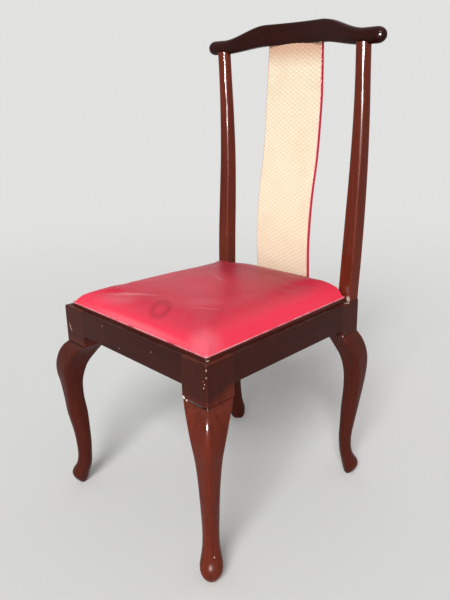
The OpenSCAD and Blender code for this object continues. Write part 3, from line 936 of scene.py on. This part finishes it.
def seat_well():
    """Everything inside the rim, where the seat drops in, with a notch around each post."""
    inner_rear = REAR_Y - RAIL_THICKNESS
    post_x = POST_SPACING / 2 + (POST_FOOT[0] - POST_FOOT[3]) * MM
    post_y = REAR_Y + (POST_FOOT[1] - POST_FOOT[3]) * MM
    front = (half_width(FRONT_Y) - RIM_WIDTH, FRONT_Y + RIM_WIDTH)
    side = (half_width(post_y) - RIM_WIDTH, post_y)
    right = [front, side, (post_x, post_y), (post_x, inner_rear)]
    outline = [(-x, y) for x, y in right] + right[::-1]
    return prism("well", outline, LEDGE_Z, RAIL_TOP + PAST_SEAT)


def round_edge(obj, start, end, inwards, radius):
    """Rounds the top edge of a head between two points of its outer face."""
    section = [(-PAST_EDGE, -radius), (0, -radius)] + arc(radius, -radius, radius, 180, 90, 6)[1:]
    section += [(radius, PAST_EDGE), (-PAST_EDGE, PAST_EDGE)]
    rings = [[(x + inwards[0] * d, y + inwards[1] * d, RAIL_TOP + h) for d, h in section]
        for x, y in (start, end)]
    combine(obj, loft("cutter", rings), "DIFFERENCE")


def rear_leg(name, corner):
    obj = cabriole(name, corner, REAR_LEG, REAR_HEAD, REAR_SHOULDER, REAR_SWAY, False)
    post_side = (POST_FOOT[3] - POST_FOOT[1]) * MM
    side_way = (-corner[0] * math.cos(SIDE_ANGLE), corner[1] * math.sin(SIDE_ANGLE))
    round_edge(obj, at_corner(corner, 0, post_side), at_corner(corner, 0, REAR_HEAD + PAST_EDGE),
        side_way, TOP_ROUND)
    round_edge(obj, at_corner(corner, post_side, 0), at_corner(corner, REAR_HEAD + PAST_EDGE, 0),
        (0, -corner[1]), TOP_ROUND / 2)
    combine(obj, seat_well(), "DIFFERENCE")
    combine(obj, loft("post", post_rings(corner[0])), "UNION")
    return obj


def front_leg(name, corner):
    obj = cabriole(name, corner, FRONT_LEG, FRONT_HEAD, FRONT_SHOULDER, FRONT_SWAY, True)
    combine(obj, seat_well(), "DIFFERENCE")
    return obj


def post_seam(co):
    """True at the line where a post rises flush out of its head."""
    return abs(co.z - RAIL_TOP) < 0.004 and co.y > REAR_Y + (POST_FOOT[1] - POST_FOOT[3] - 0.5) * MM \
        and abs(co.x) > POST_SPACING / 2 + (POST_FOOT[0] - POST_FOOT[3] - 0.5) * MM


# The splinter missing at the front right shoulder: distance inwards along the front face, distance
# in front of it, height above the shoulder, half sizes, tilt, seed and finish
SPLINTER = [
    (0.0655, 0.0000, 0.0020, (0.0042, 0.0030, 0.0027), 24, 5, chip_finish),
    (0.0560, 0.0006, -0.0010, (0.0030, 0.0022, 0.0014), 20, 6, chip_finish),
    (0.0360, 0.0002, 0.0006, (0.0240, 0.0020, 0.0010), 1, 7, crack_shade_finish)]
# Chips down the corner above it: height above the shoulder, half height and distance inwards
CORNER_CHIPS = [
    (0.0755, 0.0028, 0), (0.0610, 0.0020, 0.0006), (0.0560, 0.0010, 0), (0.0455, 0.0012, 0),
    (0.0330, 0.0009, 0), (0.0010, 0.0022, 0), (0.0200, 0.0008, 0)]
# Specks beside it on the front face: distance inwards, height above the shoulder and half size
FACE_CHIPS = [(0.0055, 0.0470, 0.0010), (0.0080, 0.0395, 0.0013), (0.0100, 0.0520, 0.0006)]
# Scratches on the front left head: distance inwards, height, half length and tilt
HEAD_SCRATCHES = [(0.0140, 0.4035, 0.0080, -24), (0.0175, 0.3985, 0.0075, -20)]


def damage_front_right(obj):
    """The missing splinter at the shoulder, and the chips down the corner above it."""
    for p, ahead, rise, size, tilt, seed, finish in SPLINTER:
        x, y = at_corner(FRONT_RIGHT, p, 0)
        chip(obj, (x, y - ahead, FRONT_SHOULDER + rise), size, (0, tilt, 0), seed, finish)
    for k, (rise, half, inwards) in enumerate(CORNER_CHIPS):
        x, y = at_corner(FRONT_RIGHT, inwards, 0)
        size = (half * 0.42, half * 0.42, half * 0.85)
        chip(obj, (x, y, FRONT_SHOULDER + rise), size, (0, 0, 45), 20 + k)
    for k, (p, rise, half) in enumerate(FACE_CHIPS):
        x, y = at_corner(FRONT_RIGHT, p, 0)
        chip(obj, (x, y, FRONT_SHOULDER + rise), (half, 0.0005, half), (0, 15, 0), 30 + k)
    x, y = on_diagonal(FRONT_RIGHT, 0.0065, -0.004)
    chip(obj, (x, y, 0.058), (0.0014, 0.0014, 0.0026), (0, 20, 45), 41)


def damage_front_left(obj):
    """Two scratches on the head's front face and a chip on top of the foot."""
    for k, (p, z, half, tilt) in enumerate(HEAD_SCRATCHES):
        x, y = at_corner(FRONT_LEFT, p, 0)
        chip(obj, (x, y, z), (0.0005, 0.0003, half), (0, tilt, 0), 51 + k)
    x, y = on_diagonal(FRONT_LEFT, 0.0195, 0.004)
    chip(obj, (x, y, 0.034), (0.0016, 0.0016, 0.0016), (0, 0, 45), 53)


def damage_rear_right(obj):
    """A chip under the inner end of the side rail, and one at the post's foot."""
    x, y = at_corner(REAR_RIGHT, 0, REAR_HEAD - 0.004)
    chip(obj, (x, y, REAR_SHOULDER + 0.001), (0.0016, 0.0022, 0.0018), (20, 0, 0), 61)
    x, y = at_corner(REAR_RIGHT, 0.002, 0.036)
    chip(obj, (x, y, RAIL_TOP - 0.0006), (0.0014, 0.0022, 0.0012), (0, 0, 10), 62)


# Width of the cells that flat faces are cut into
CELL = 0.008
LEG_FINISHES = {"leg_front_left": upright_finish, "leg_front_right": near_finish,
    "leg_rear_left": upright_finish, "leg_rear_right": upright_finish}


def shoulder_shade(shoulder):
    """A rule for the painted shade in the quirk at a leg's shoulder, darkest on the front faces."""
    def painted_shade(co):
        near = abs(co.z - shoulder - SHOULDER_STEP / 3) < SHOULDER_STEP
        return near * (1.0 if co.y < FRONT_Y + 0.004 else 0.4)
    return painted_shade


legs = {}
for leg_name, leg_corner in (("leg_front_left", FRONT_LEFT), ("leg_front_right", FRONT_RIGHT),
        ("leg_rear_left", REAR_LEFT), ("leg_rear_right", REAR_RIGHT)):
    build = front_leg if leg_corner[1] < 0 else rear_leg
    legs[leg_name] = build(leg_name + "_finished", leg_corner)
    legs[leg_name].data.materials.append(LEG_FINISHES[leg_name])
    divide(legs[leg_name], CELL, low=FRONT_SHOULDER)
damage_front_right(legs["leg_front_right"])
damage_front_left(legs["leg_front_left"])
damage_rear_right(legs["leg_rear_right"])
for leg_name, leg in legs.items():
    shoulder = FRONT_SHOULDER if "front" in leg_name else REAR_SHOULDER
    finish_piece(leg, LEG_FINISHES[leg_name], [leg_name], plain=post_seam,
        painted_shade=shoulder_shade(shoulder))


# ---- Rails --------------------------------------------------------------------

# How far a rail fills the eased edge of the head that it meets
JOINT_FILL = 0.0010
# Small chips on the front rail: x and z
RAIL_CHIPS = [(-0.088, 0.4375), (0.079, 0.4285), (-0.030, 0.405)]


def rail_section(top_round, bottom_round=0.0012):
    """Depth behind the outer face and height, round a rail."""
    deep = RAIL_THICKNESS
    section = arc(bottom_round, RAIL_BOTTOM + bottom_round, bottom_round, 270, 180, 3)
    section += arc(top_round, RAIL_TOP - top_round, top_round, 180, 90, 6)
    section += arc(deep - bottom_round, RAIL_TOP - bottom_round, bottom_round, 90, 0, 3)
    section += arc(deep - bottom_round, RAIL_BOTTOM + bottom_round, bottom_round, 0, -90, 3)
    return section


def side_rail(name, front, rear):
    section = rail_section(TOP_ROUND)
    rings = [[(*at_corner(corner, depth / math.cos(SIDE_ANGLE), head - JOINT_FILL), z)
        for depth, z in section] for corner, head in ((front, FRONT_HEAD), (rear, REAR_HEAD))]
    obj = loft(name, rings)
    combine(obj, seat_well(), "DIFFERENCE")
    return obj


def cross_rail(name, left, right, head, top_round):
    section = rail_section(top_round)
    rings = [[(*at_corner(corner, head - JOINT_FILL, depth / math.cos(SIDE_ANGLE)), z)
        for depth, z in section] for corner in (left, right)]
    return loft(name, rings)


front_rail = cross_rail("rail_front_finished", FRONT_LEFT, FRONT_RIGHT, FRONT_HEAD, TOP_ROUND)
combine(front_rail, seat_well(), "DIFFERENCE")
front_rail.data.materials.append(across_finish)
divide(front_rail, CELL)
for k, (x, z) in enumerate(RAIL_CHIPS):
    chip(front_rail, (x, FRONT_Y, z), (0.0008, 0.0004, 0.0010), (0, 15, 0), 70 + k)
finish_piece(front_rail, across_finish, ["rail_front"])
for rail_name, front_corner, rear_corner in (("rail_left", FRONT_LEFT, REAR_LEFT),
        ("rail_right", FRONT_RIGHT, REAR_RIGHT)):
    rail = side_rail(rail_name + "_finished", front_corner, rear_corner)
    divide(rail, CELL)
    finish_piece(rail, deep_finish, [rail_name])


# ---- Splat ----------------------------------------------------------------------

# The curve of the splat's front, in millimetres: distance behind the frame's rear face, height
SPLAT_LINE = [(-20.5, 425), (-21.6, 483), (-22.4, 564), (-13.7, 660), (2.2, 753),
    (11.4, 850), (15.6, 930), (17.5, 1000)]
SPLAT_HALF = 0.080
SPLAT_TAPER = 0.004
TAPER_Z = 0.880
SPLAT_HEAD = 0.991
SPLAT_THICKNESS = 0.010
SLOPE_STEP = 0.004


def splat_path(low, high, step):
    """Places along the splat's front line: (y, z, the normal's y and z, length so far)."""
    run = np.array(smooth_run(SPLAT_LINE, 24)) * MM
    run[:, 0] += REAR_Y
    depths, heights = run.T
    fine = np.linspace(low, high, 2000)
    ys = np.interp(fine, heights, depths)
    lengths = np.concatenate([[0], np.cumsum(np.hypot(np.diff(ys), np.diff(fine)))])
    count = max(2, int(round(lengths[-1] / step)) + 1)
    places = []
    for length in np.linspace(0, lengths[-1], count):
        z = np.interp(length, lengths, fine)
        y = np.interp(z, heights, depths)
        below, above = np.interp([z - SLOPE_STEP, z + SLOPE_STEP], heights, depths)
        slope = (above - below) / (2 * SLOPE_STEP)
        scale = math.hypot(1, slope)
        places.append((y, z, -1 / scale, slope / scale, length))
    return places


def splat_half(z):
    return SPLAT_HALF - SPLAT_TAPER * max(0, z - TAPER_Z) / (SPLAT_HEAD - TAPER_Z)


def splat_section(half):
    """Across the splat and behind its front line: the vinyl that wraps edges and back."""
    front, back, bead, welt = 0.0006, SPLAT_THICKNESS, 0.0022, 0.0013
    right = arc(half - welt, front + welt, welt, -90, 0, 5)
    right += arc(half - bead, back - bead, bead, 0, 90, 5)
    right = [(half - 2 * welt, front + 0.0010), (half - 1.7 * welt, front + 0.0003)] + right
    return right + [(-x, d) for x, d in right[::-1]]


def splat_back():
    rings = []
    for y, z, ny, nz, _ in splat_path(RAIL_TOP - 0.004, SPLAT_HEAD, 0.006):
        rings.append([(x, y - ny * d, z - nz * d) for x, d in splat_section(splat_half(z))])
    return loft("splat_back_cover", rings)


DOT_PITCH = 0.016
ROW_PITCH = 0.0096
DOT_RISE = 0.0005
# Where a dot begins and is full, on a wave that runs from -1 to 1
DOT_EDGE = -0.15
DOT_TOP = 0.70
CLOTH_STEP = 0.00125
CLOTH_DEPTH = 0.0006
CLOTH_INSET = 0.0011
CLOTH_FOLD = 0.0008
CLOTH_TURN = 0.0010


def splat_cloth():
    """The dotted cloth on the front, one sheet whose sides fold back round the arris."""
    columns = 2 * int(round(SPLAT_HALF / CLOTH_STEP)) + 1
    path = splat_path(RAIL_TOP - 0.003, SPLAT_HEAD, CLOTH_STEP)
    points, dots, cloth_place = [], [], []
    for y, z, ny, nz, length in path:
        half = splat_half(z) - CLOTH_INSET
        flat = [(x, 0.0) for x in np.linspace(CLOTH_FOLD - half, half - CLOTH_FOLD, columns)]
        fold = arc(half - CLOTH_FOLD, CLOTH_FOLD, CLOTH_FOLD, -90, 0, 4)[1:]
        fold.append((half, CLOTH_FOLD + CLOTH_TURN))
        row = [(-x, d) for x, d in fold[::-1]] + flat + fold
        for x, d in row:
            lattice = math.cos(TURN * x / DOT_PITCH) * math.cos(TURN * length / ROW_PITCH)
            dot = ramp(lattice, DOT_EDGE, DOT_TOP) * (1 - ease(d / CLOTH_FOLD))
            depth = CLOTH_DEPTH + d - DOT_RISE * dot
            points.append((x, y - ny * depth, z - nz * depth))
            dots.append(dot)
            cloth_place.append((x, length, d))
    wide = len(points) // len(path)
    obj = make_piece("splat_cloth", points, quads(len(path), wide, closed=False))
    store(obj, "dot", dots)
    store(obj, "cloth_place", cloth_place)
    flat_size = (2 * (SPLAT_HALF - CLOTH_INSET + CLOTH_TURN), path[-1][4])
    return obj, flat_size


splat_cover = splat_back()
finish_piece(splat_cover, splat_vinyl, ["splat_vinyl"])
cloth, cloth_flat = splat_cloth()
finish_piece(cloth, cream_cloth, ["splat_fabric", "splat_foam"], edges=False, angle=60)


# ---- Crest rail -------------------------------------------------------------------

ARM_BOTTOM = 0.9735
ARM_TOP = CHAIR_HEIGHT - 0.026
BOTTOM_RISE = 0.0125
HUMP_END = 0.200
HUMP_FULL = 0.078
ARM_HALF = 0.0142
CREST_HALF = 0.0135
CREST_BOW = 0.033
CREST_END_Y = REAR_Y - 0.0045
TIP_REACH = 0.020
TIP_START = CREST_REACH - TIP_REACH


def crest_ring(x):
    a = abs(x)
    hump = ramp(a, HUMP_END, HUMP_FULL)
    top = ARM_TOP + (CHAIR_HEIGHT - ARM_TOP) * hump
    bottom = ARM_BOTTOM + BOTTOM_RISE * hump
    y = CREST_END_Y + CREST_BOW * (1 + math.cos(math.pi * min(1, a / TIP_START))) / 2
    tip = 1 if a <= TIP_START else math.sqrt(max(0, 1 - ((a - TIP_START) / TIP_REACH) ** 2))
    thick = (ARM_HALF + (CREST_HALF - ARM_HALF) * hump) * tip
    high = (top - bottom) / 2 * tip
    return [(x, y + thick * cx, (top + bottom) / 2 + high * cz)
        for cx, cz in rounded_square(1, 0.95 - 0.5 * hump)]


def crest():
    steps, tip_steps = 70, 10
    xs = [TIP_START * k / steps for k in range(-steps, steps + 1)]
    ends = [TIP_START + TIP_REACH * math.sin(math.radians(88 * k / tip_steps))
        for k in range(1, tip_steps + 1)]
    xs = [-x for x in ends[::-1]] + xs + ends
    return loft("crest_rail_finished", [crest_ring(x) for x in xs])


finish_piece(crest(), crest_finish, ["crest_rail"])

rear_rail = cross_rail("rail_rear_finished", REAR_LEFT, REAR_RIGHT, REAR_HEAD, TOP_ROUND / 2)
finish_piece(rear_rail, across_finish, ["rail_rear"])


# ---- Drop-in seat -------------------------------------------------------------------

EDGE_RISE = 0.006
SHOULDER_RISE = 0.018
SHOULDER_INSET = 0.012
FLAT_INSET = 0.150
SEAT_INSETS = [0, 1.5, 3, 5, 8, 12, 17, 23, 30, 40, 58, 80, 110, 150]
WALL_INSET = 0.0008
FULL_DOME = 0.003
# The seat has worked loose: how far it stands proud at its rear left and rear right corners
PROUD_LEFT = 0.004
PROUD_RIGHT = 0.005
# How much fuller the padding is along the rear edge, away from the posts
REAR_FULLNESS = 0.0080
# The same along the left edge, and at the rear right corner
LEFT_FULLNESS = 0.0028
CORNER_FULLNESS = 0.007


def crown(inset):
    """Height of the seat above the rails at an inset from its edge."""
    dome = SEAT_TOP + FULL_DOME - RAIL_TOP - EDGE_RISE - SHOULDER_RISE
    return EDGE_RISE + SHOULDER_RISE * (1 - math.exp(-inset / SHOULDER_INSET)) \
        + dome * (1 - (1 - inset / FLAT_INSET) ** 2)


def proud(x, y):
    """How far the loose seat stands proud at a place."""
    back = min(1, max(0, (y - FRONT_Y) / FRAME_DEPTH))
    right = min(1, max(0, x / POST_SPACING + 0.5))
    return back * (PROUD_LEFT + (PROUD_RIGHT - PROUD_LEFT) * right)


def seat_outline(inset, corner_points=7):
    margin = RIM_WIDTH + SEAT_GAP + inset
    radius = 0.006 + inset * 0.25
    front, rear = FRONT_Y + margin, REAR_Y - RAIL_THICKNESS - SEAT_GAP - inset
    points = []
    for sx, sy, start in ((1, 1, 0), (-1, 1, 90), (-1, -1, 180), (1, -1, 270)):
        y = rear - radius if sy > 0 else front + radius
        x = half_width(y) - margin - radius
        points += arc(sx * x, y, radius, start, start + 90, corner_points)
    return points


SWELL_ROOM = 0.0005


def seat_form():
    """The closed seat before it is padded out, with a notch for each post."""
    wall_top = RAIL_TOP + EDGE_RISE - 0.001
    rings = [[(x, y, z) for x, y in seat_outline(WALL_INSET)] for z in (LEDGE_Z, wall_top)]
    for inset in SEAT_INSETS[1:]:
        z = RAIL_TOP + crown(inset * MM) - SWELL_ROOM
        rings.append([(x, y, z) for x, y in seat_outline(inset * MM + WALL_INSET)])
    obj = loft("seat_cushion", rings)
    reach = 0.060
    clear = (POST_FOOT[3] + 0.9) * MM + SEAT_GAP
    for side in (-1, 1):
        x = side * (POST_SPACING / 2 + POST_FOOT[0] * MM - clear)
        y = REAR_Y + POST_FOOT[1] * MM - clear
        outline = [(x, y), (x + side * reach, y), (x + side * reach, y + reach), (x, y + reach)]
        combine(obj, prism("notch", outline, LEDGE_Z - PAST_SEAT / 2, SEAT_TOP + PAST_SEAT), "DIFFERENCE")
    return obj


VOXEL = 0.005
PRESSURE = 4.0
SWELL_CAP = 0.0030
CLOTH_FRAMES = 20
# Soft unevenness of the padding: scale, layer of the noise and height
SWELLS = [(14, 3.0, 0.0008), (45, 8.0, 0.0002)]
PLEAT_REACH = 0.030
PLEAT_HEIGHT = 0.0005
# How high above the rails the wall of the seat stays as it is
STILL_RISE = 0.010


def pad_out(obj):
    """Swells the cover like stuffed vinyl: an inflated cloth whose foot is held by the board."""
    co = coordinates(obj.data)
    held = obj.vertex_groups.new(name="held")
    low = [int(i) for i in np.nonzero(co[:, 2] < RAIL_TOP + EDGE_RISE + 0.001)[0]]
    held.add(low, 1.0, "REPLACE")
    modifier = obj.modifiers.new("cloth", "CLOTH")
    settings = modifier.settings
    settings.use_pressure = True
    settings.uniform_pressure_force = PRESSURE
    settings.vertex_group_mass = "held"
    settings.tension_stiffness = 25
    settings.compression_stiffness = 25
    settings.bending_stiffness = 4
    settings.effector_weights.gravity = 0
    scene = bpy.context.scene
    for step in range(1, CLOTH_FRAMES + 1):
        scene.frame_set(step)
    graph = bpy.context.evaluated_depsgraph_get()
    swollen = coordinates(obj.evaluated_get(graph).data)
    obj.modifiers.clear()
    move = swollen - co
    length = np.linalg.norm(move, axis=1, keepdims=True)
    move *= np.minimum(1, SWELL_CAP / np.maximum(length, 1e-9))
    set_coordinates(obj.data, co + move)
    scene.frame_set(1)


def settle_seat(obj):
    """Keeps the seat inside its gap, adds the pull of the vinyl at the corners and tilts it."""
    co = coordinates(obj.data)
    corners = [Vector((*at_corner(c, RIM_WIDTH, RIM_WIDTH), 0)) for c in (FRONT_LEFT, FRONT_RIGHT)]
    for i, (x, y, z) in enumerate(co):
        above = max(0.0, z - RAIL_TOP)
        if above > STILL_RISE:
            soft = 0.0
            for scale, layer, height in SWELLS:
                soft += noise.noise(Vector((x * scale, y * scale, layer))) * height
            for corner in corners:
                dx, dy = x - corner.x, y - corner.y
                away = math.hypot(dx, dy)
                soft += math.exp(-away / PLEAT_REACH) * PLEAT_HEIGHT * math.cos(math.atan2(dy, dx) * 14)
            full = ramp(x, 0.195, 0.150) * ramp(x, -0.170, -0.060) * ramp(y - REAR_Y, -0.140, -0.050)
            soft += REAR_FULLNESS * full
            soft += LEFT_FULLNESS * ramp(x, -0.080, -0.160) * ramp(y, 0.120, 0.0)
            soft += CORNER_FULLNESS * (x / POST_SPACING + 0.5) * (y - FRONT_Y) / FRAME_DEPTH
            z += soft * ramp(above, STILL_RISE, 2 * STILL_RISE)
        margin = RIM_WIDTH + SEAT_GAP
        x = min(max(x, margin - half_width(y)), half_width(y) - margin)
        y = max(y, FRONT_Y + margin)
        z += proud(x, y) * ramp(z, LEDGE_Z, RAIL_TOP)
        co[i] = (x, y, max(z, LEDGE_Z))
    set_coordinates(obj.data, co)


# How far below the rolled edge the wall takes a near-black painted shadow, and then a lighter brown-red
# painted shade
DARKEST_WALL = (0.0, 0.0015)
SHADED_BROWN_WALL = (0.0020, 0.0035)


def seat_wall_shade(co):
    """Painted shade on the seat's wall: up to 0.5 a near-black shadow just under the rolled edge, and from
    there to 1 a brown-red shade lower down.
    """
    drop = RAIL_TOP + EDGE_RISE + proud(co.x, co.y) - 0.0005 - co.z
    return 0.5 * ramp(drop, *DARKEST_WALL) + 0.5 * ramp(drop, *SHADED_BROWN_WALL)


ROLL_RADIUS = 0.0015
ROLL_POINTS = 10


def eased_path(corners, steps=6):
    """A closed path whose corners (x, y, radius) are rounded off."""
    path = []
    for k, (x, y, radius) in enumerate(corners):
        here = Vector((x, y))
        before = (Vector(corners[k - 1][:2]) - here).normalized() * radius
        after = (Vector(corners[(k + 1) % len(corners)][:2]) - here).normalized() * radius
        for t in np.linspace(0, 1, steps):
            path.append(here + before * (1 - t) ** 2 + after * t**2)
    return path


def edge_roll():
    """The rolled edge where the vinyl turns under, all round the seat and the post notches."""
    margin = RIM_WIDTH + SEAT_GAP + ROLL_RADIUS
    clear = (POST_FOOT[3] + 0.6) * MM + SEAT_GAP + ROLL_RADIUS
    post_x = POST_SPACING / 2 + POST_FOOT[0] * MM - clear
    post_y = REAR_Y + POST_FOOT[1] * MM - clear
    front = FRONT_Y + margin
    rear = REAR_Y - RAIL_THICKNESS - SEAT_GAP - ROLL_RADIUS
    right = [(half_width(front) - margin, front, 0.006), (half_width(post_y) - margin, post_y, 0.003),
        (post_x, post_y, 0.004), (post_x, rear, 0.004)]
    path = eased_path(right + [(-x, y, radius) for x, y, radius in right[::-1]])
    points = []
    for k, place in enumerate(path):
        along = (path[(k + 1) % len(path)] - path[k - 1]).normalized()
        z = RAIL_TOP + EDGE_RISE + proud(place.x, place.y)
        for turn in np.arange(ROLL_POINTS) * TURN / ROLL_POINTS:
            out = math.cos(turn) * ROLL_RADIUS
            points.append((place.x + along.y * out, place.y - along.x * out,
                z + math.sin(turn) * ROLL_RADIUS))
    roll = make_piece("seat_edge_roll", points, quads(len(path), ROLL_POINTS, looped=True))
    face_outwards(roll)
    return roll


seat = seat_form()
remesh = seat.modifiers.new("remesh", "REMESH")
remesh.mode = "VOXEL"
remesh.voxel_size = VOXEL
apply_modifiers(seat)
pad_out(seat)
smoothing = seat.modifiers.new("smooth", "SMOOTH")
smoothing.factor = 0.5
smoothing.iterations = 2
seat.modifiers.new("subdivision", "SUBSURF").levels = 1
apply_modifiers(seat)
settle_seat(seat)
finish_piece(seat, seat_vinyl, ["seat_cover", "seat_foam"], edges=False, angle=80,
    painted_shade=seat_wall_shade)
finish_piece(edge_roll(), roll_vinyl, [], angle=80)


# ---- Underside ------------------------------------------------------------------------

DUST_MARGIN = 0.0275
DUST_NOTCH = 0.073
DUST_SAG = 0.0016
DUST_DEPTH = 0.0006
DUST_WAVE = 0.0003
SAG_MIDDLE = -0.007


def dust_cover():
    """The cloth tacked under the seat, cut out around the legs' heads and sagging a little."""
    ends = list(np.linspace(DUST_MARGIN, DUST_NOTCH, 7))
    rear_margin = RAIL_THICKNESS + SEAT_GAP + 0.016
    rows = [FRONT_Y + m for m in ends]
    rows += list(np.linspace(FRONT_Y + DUST_NOTCH, REAR_Y - DUST_NOTCH, 40))[1:]
    rows += [REAR_Y - m for m in np.linspace(DUST_NOTCH, rear_margin, 6)[1:]]
    middle = list(np.linspace(-1, 1, 41))[1:-1]
    points = []
    for y in rows:
        half = half_width(y)
        inner = half - DUST_NOTCH
        xs = [m - half for m in ends] + [inner * t for t in middle] + [half - m for m in ends[::-1]]
        for x in xs:
            flat_x = min(1.0, abs(x) / inner)
            flat_y = min(1.0, abs(y - SAG_MIDDLE) / (FRAME_DEPTH / 2 - DUST_NOTCH))
            sag = DUST_SAG * (1 - flat_x**2) * (1 - flat_y**2)
            wave = noise.noise(Vector((x * 30, y * 30, 1.0))) * DUST_WAVE
            points.append((x, y, LEDGE_Z - DUST_DEPTH - sag + min(0.0, wave)))
    wide, deep, edge = len(points) // len(rows), len(rows), len(ends) - 1
    faces = []
    for r in range(deep - 1):
        for c in range(wide - 1):
            if (c < edge or c >= wide - 1 - edge) and (r < edge or r >= deep - 6):
                continue
            faces.append((r * wide + c, (r + 1) * wide + c, (r + 1) * wide + c + 1, r * wide + c + 1))
    obj = make_piece("seat_underside_cloth", points, faces)
    work = open_mesh(obj)
    bmesh.ops.delete(work, geom=[v for v in work.verts if not v.link_faces], context="VERTS")
    area = sum(f.calc_area() for f in work.faces)
    close_mesh(work, obj.data)
    flat = (2 * (half_width(FRONT_Y) - DUST_MARGIN), rows[-1] - rows[0])
    return obj, flat, area


underside, underside_flat, underside_area = dust_cover()
finish_piece(underside, under_cloth, ["seat_dust_cover"], edges=False)

CAD_FINISHES = {
    "seat_board": plywood_finish, "splat_board": plywood_finish, "seat_staples": steel_finish,
    "block_screws": steel_finish, "seat_screws": steel_finish, "block_front_left": block_finish,
    "block_front_right": block_finish, "block_rear_left": block_finish,
    "block_rear_right": block_finish}
for node_name, finish in CAD_FINISHES.items():
    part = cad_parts[node_name]
    part.data.materials.clear()
    part.data.materials.append(finish)


# ---- Camera, light and floor ------------------------------------------------------------

CAMERA_PLACE = Vector((1.0033, -0.9005, 0.9021))
CAMERA_TARGET = Vector((0.0, 0.0227, 0.4498))
CAMERA_ROLL = math.radians(-1.32)
LENS = 38.66


def aim(obj, target):
    obj.rotation_euler = (target - obj.location).to_track_quat("-Z", "Y").to_euler()


def set_camera():
    data = bpy.data.cameras.new("camera")
    data.lens = LENS
    data.sensor_width = 36
    camera = add_object("camera", data)
    turn = (CAMERA_TARGET - CAMERA_PLACE).to_track_quat("-Z", "Y").to_matrix()
    turn = turn @ Matrix.Rotation(CAMERA_ROLL, 3, "Z")
    camera.matrix_world = Matrix.Translation(CAMERA_PLACE) @ turn.to_4x4()
    bpy.context.scene.camera = camera


def softbox(name, place, target, size, power):
    data = bpy.data.lights.new(name, "AREA")
    data.shape = "DISK"
    data.size = size
    data.energy = power
    lamp = add_object(name, data)
    lamp.location = place
    aim(lamp, Vector(target))
    return lamp


def even_light(name, place, spread, strength):
    """A broad even light from one direction."""
    data = bpy.data.lights.new(name, "SUN")
    data.angle = math.radians(spread)
    data.energy = strength
    lamp = add_object(name, data)
    lamp.location = place
    aim(lamp, Vector((0, 0, 0.5)))


PALE = (0.78, 0.78, 0.77, 1)
WORLD_LIGHT = 0.52
BACKGROUND = 0.97
# How far away the floor starts to fade, and where it has faded
FADE_START = 1.2
FADE_END = 3.6


def seen_directly(tree):
    """1 where a surface or the world is seen, straight or in a reflection, and 0 as a light."""
    rays = node(tree, "ShaderNodeLightPath")
    return rays["Is Camera Ray"].larger(rays["Is Glossy Ray"].larger(rays["Is Transmission Ray"]))


def set_world():
    world = bpy.data.worlds.new("studio")
    world.use_nodes = True
    background = world.node_tree.nodes["Background"]
    strength = seen_directly(world.node_tree) * (BACKGROUND - WORLD_LIGHT) + WORLD_LIGHT
    put(PALE, background.inputs["Color"])
    put(strength, background.inputs["Strength"])
    bpy.context.scene.world = world


def floor_material():
    """A pale floor that fades into the background far from the object."""
    material, shader, place = new_material("pale_floor")
    tree = material.node_tree
    far = place.length().eased(FADE_START, FADE_END) * seen_directly(tree)
    glow = node(tree, "ShaderNodeEmission", {"Color": PALE, "Strength": BACKGROUND})[0]
    mixed = node(tree, "ShaderNodeMixShader", {0: far, 1: Value(shader.outputs[0]), 2: glow})[0]
    set_shader(shader, base_color=PALE, roughness=0.9, specular_ior_level=0.1)
    put(mixed, tree.nodes["Material Output"].inputs["Surface"])
    return material


def set_floor():
    work = bmesh.new()
    bmesh.ops.create_circle(work, cap_ends=True, segments=64, radius=12)
    mesh = bpy.data.meshes.new("floor")
    close_mesh(work, mesh)
    mesh.materials.append(floor_material())
    floor = add_object("floor", mesh)


set_camera()
set_world()
set_floor()
even_light("studio_light", place=(1.2, -1.8, 2.1), spread=24, strength=2.5)
glint = softbox("glint", place=(0.92, -1.01, 1.00), target=(0, 0, 0.6), size=0.42, power=210)
glint.visible_diffuse = False
bpy.context.scene.view_settings.view_transform = "Standard"
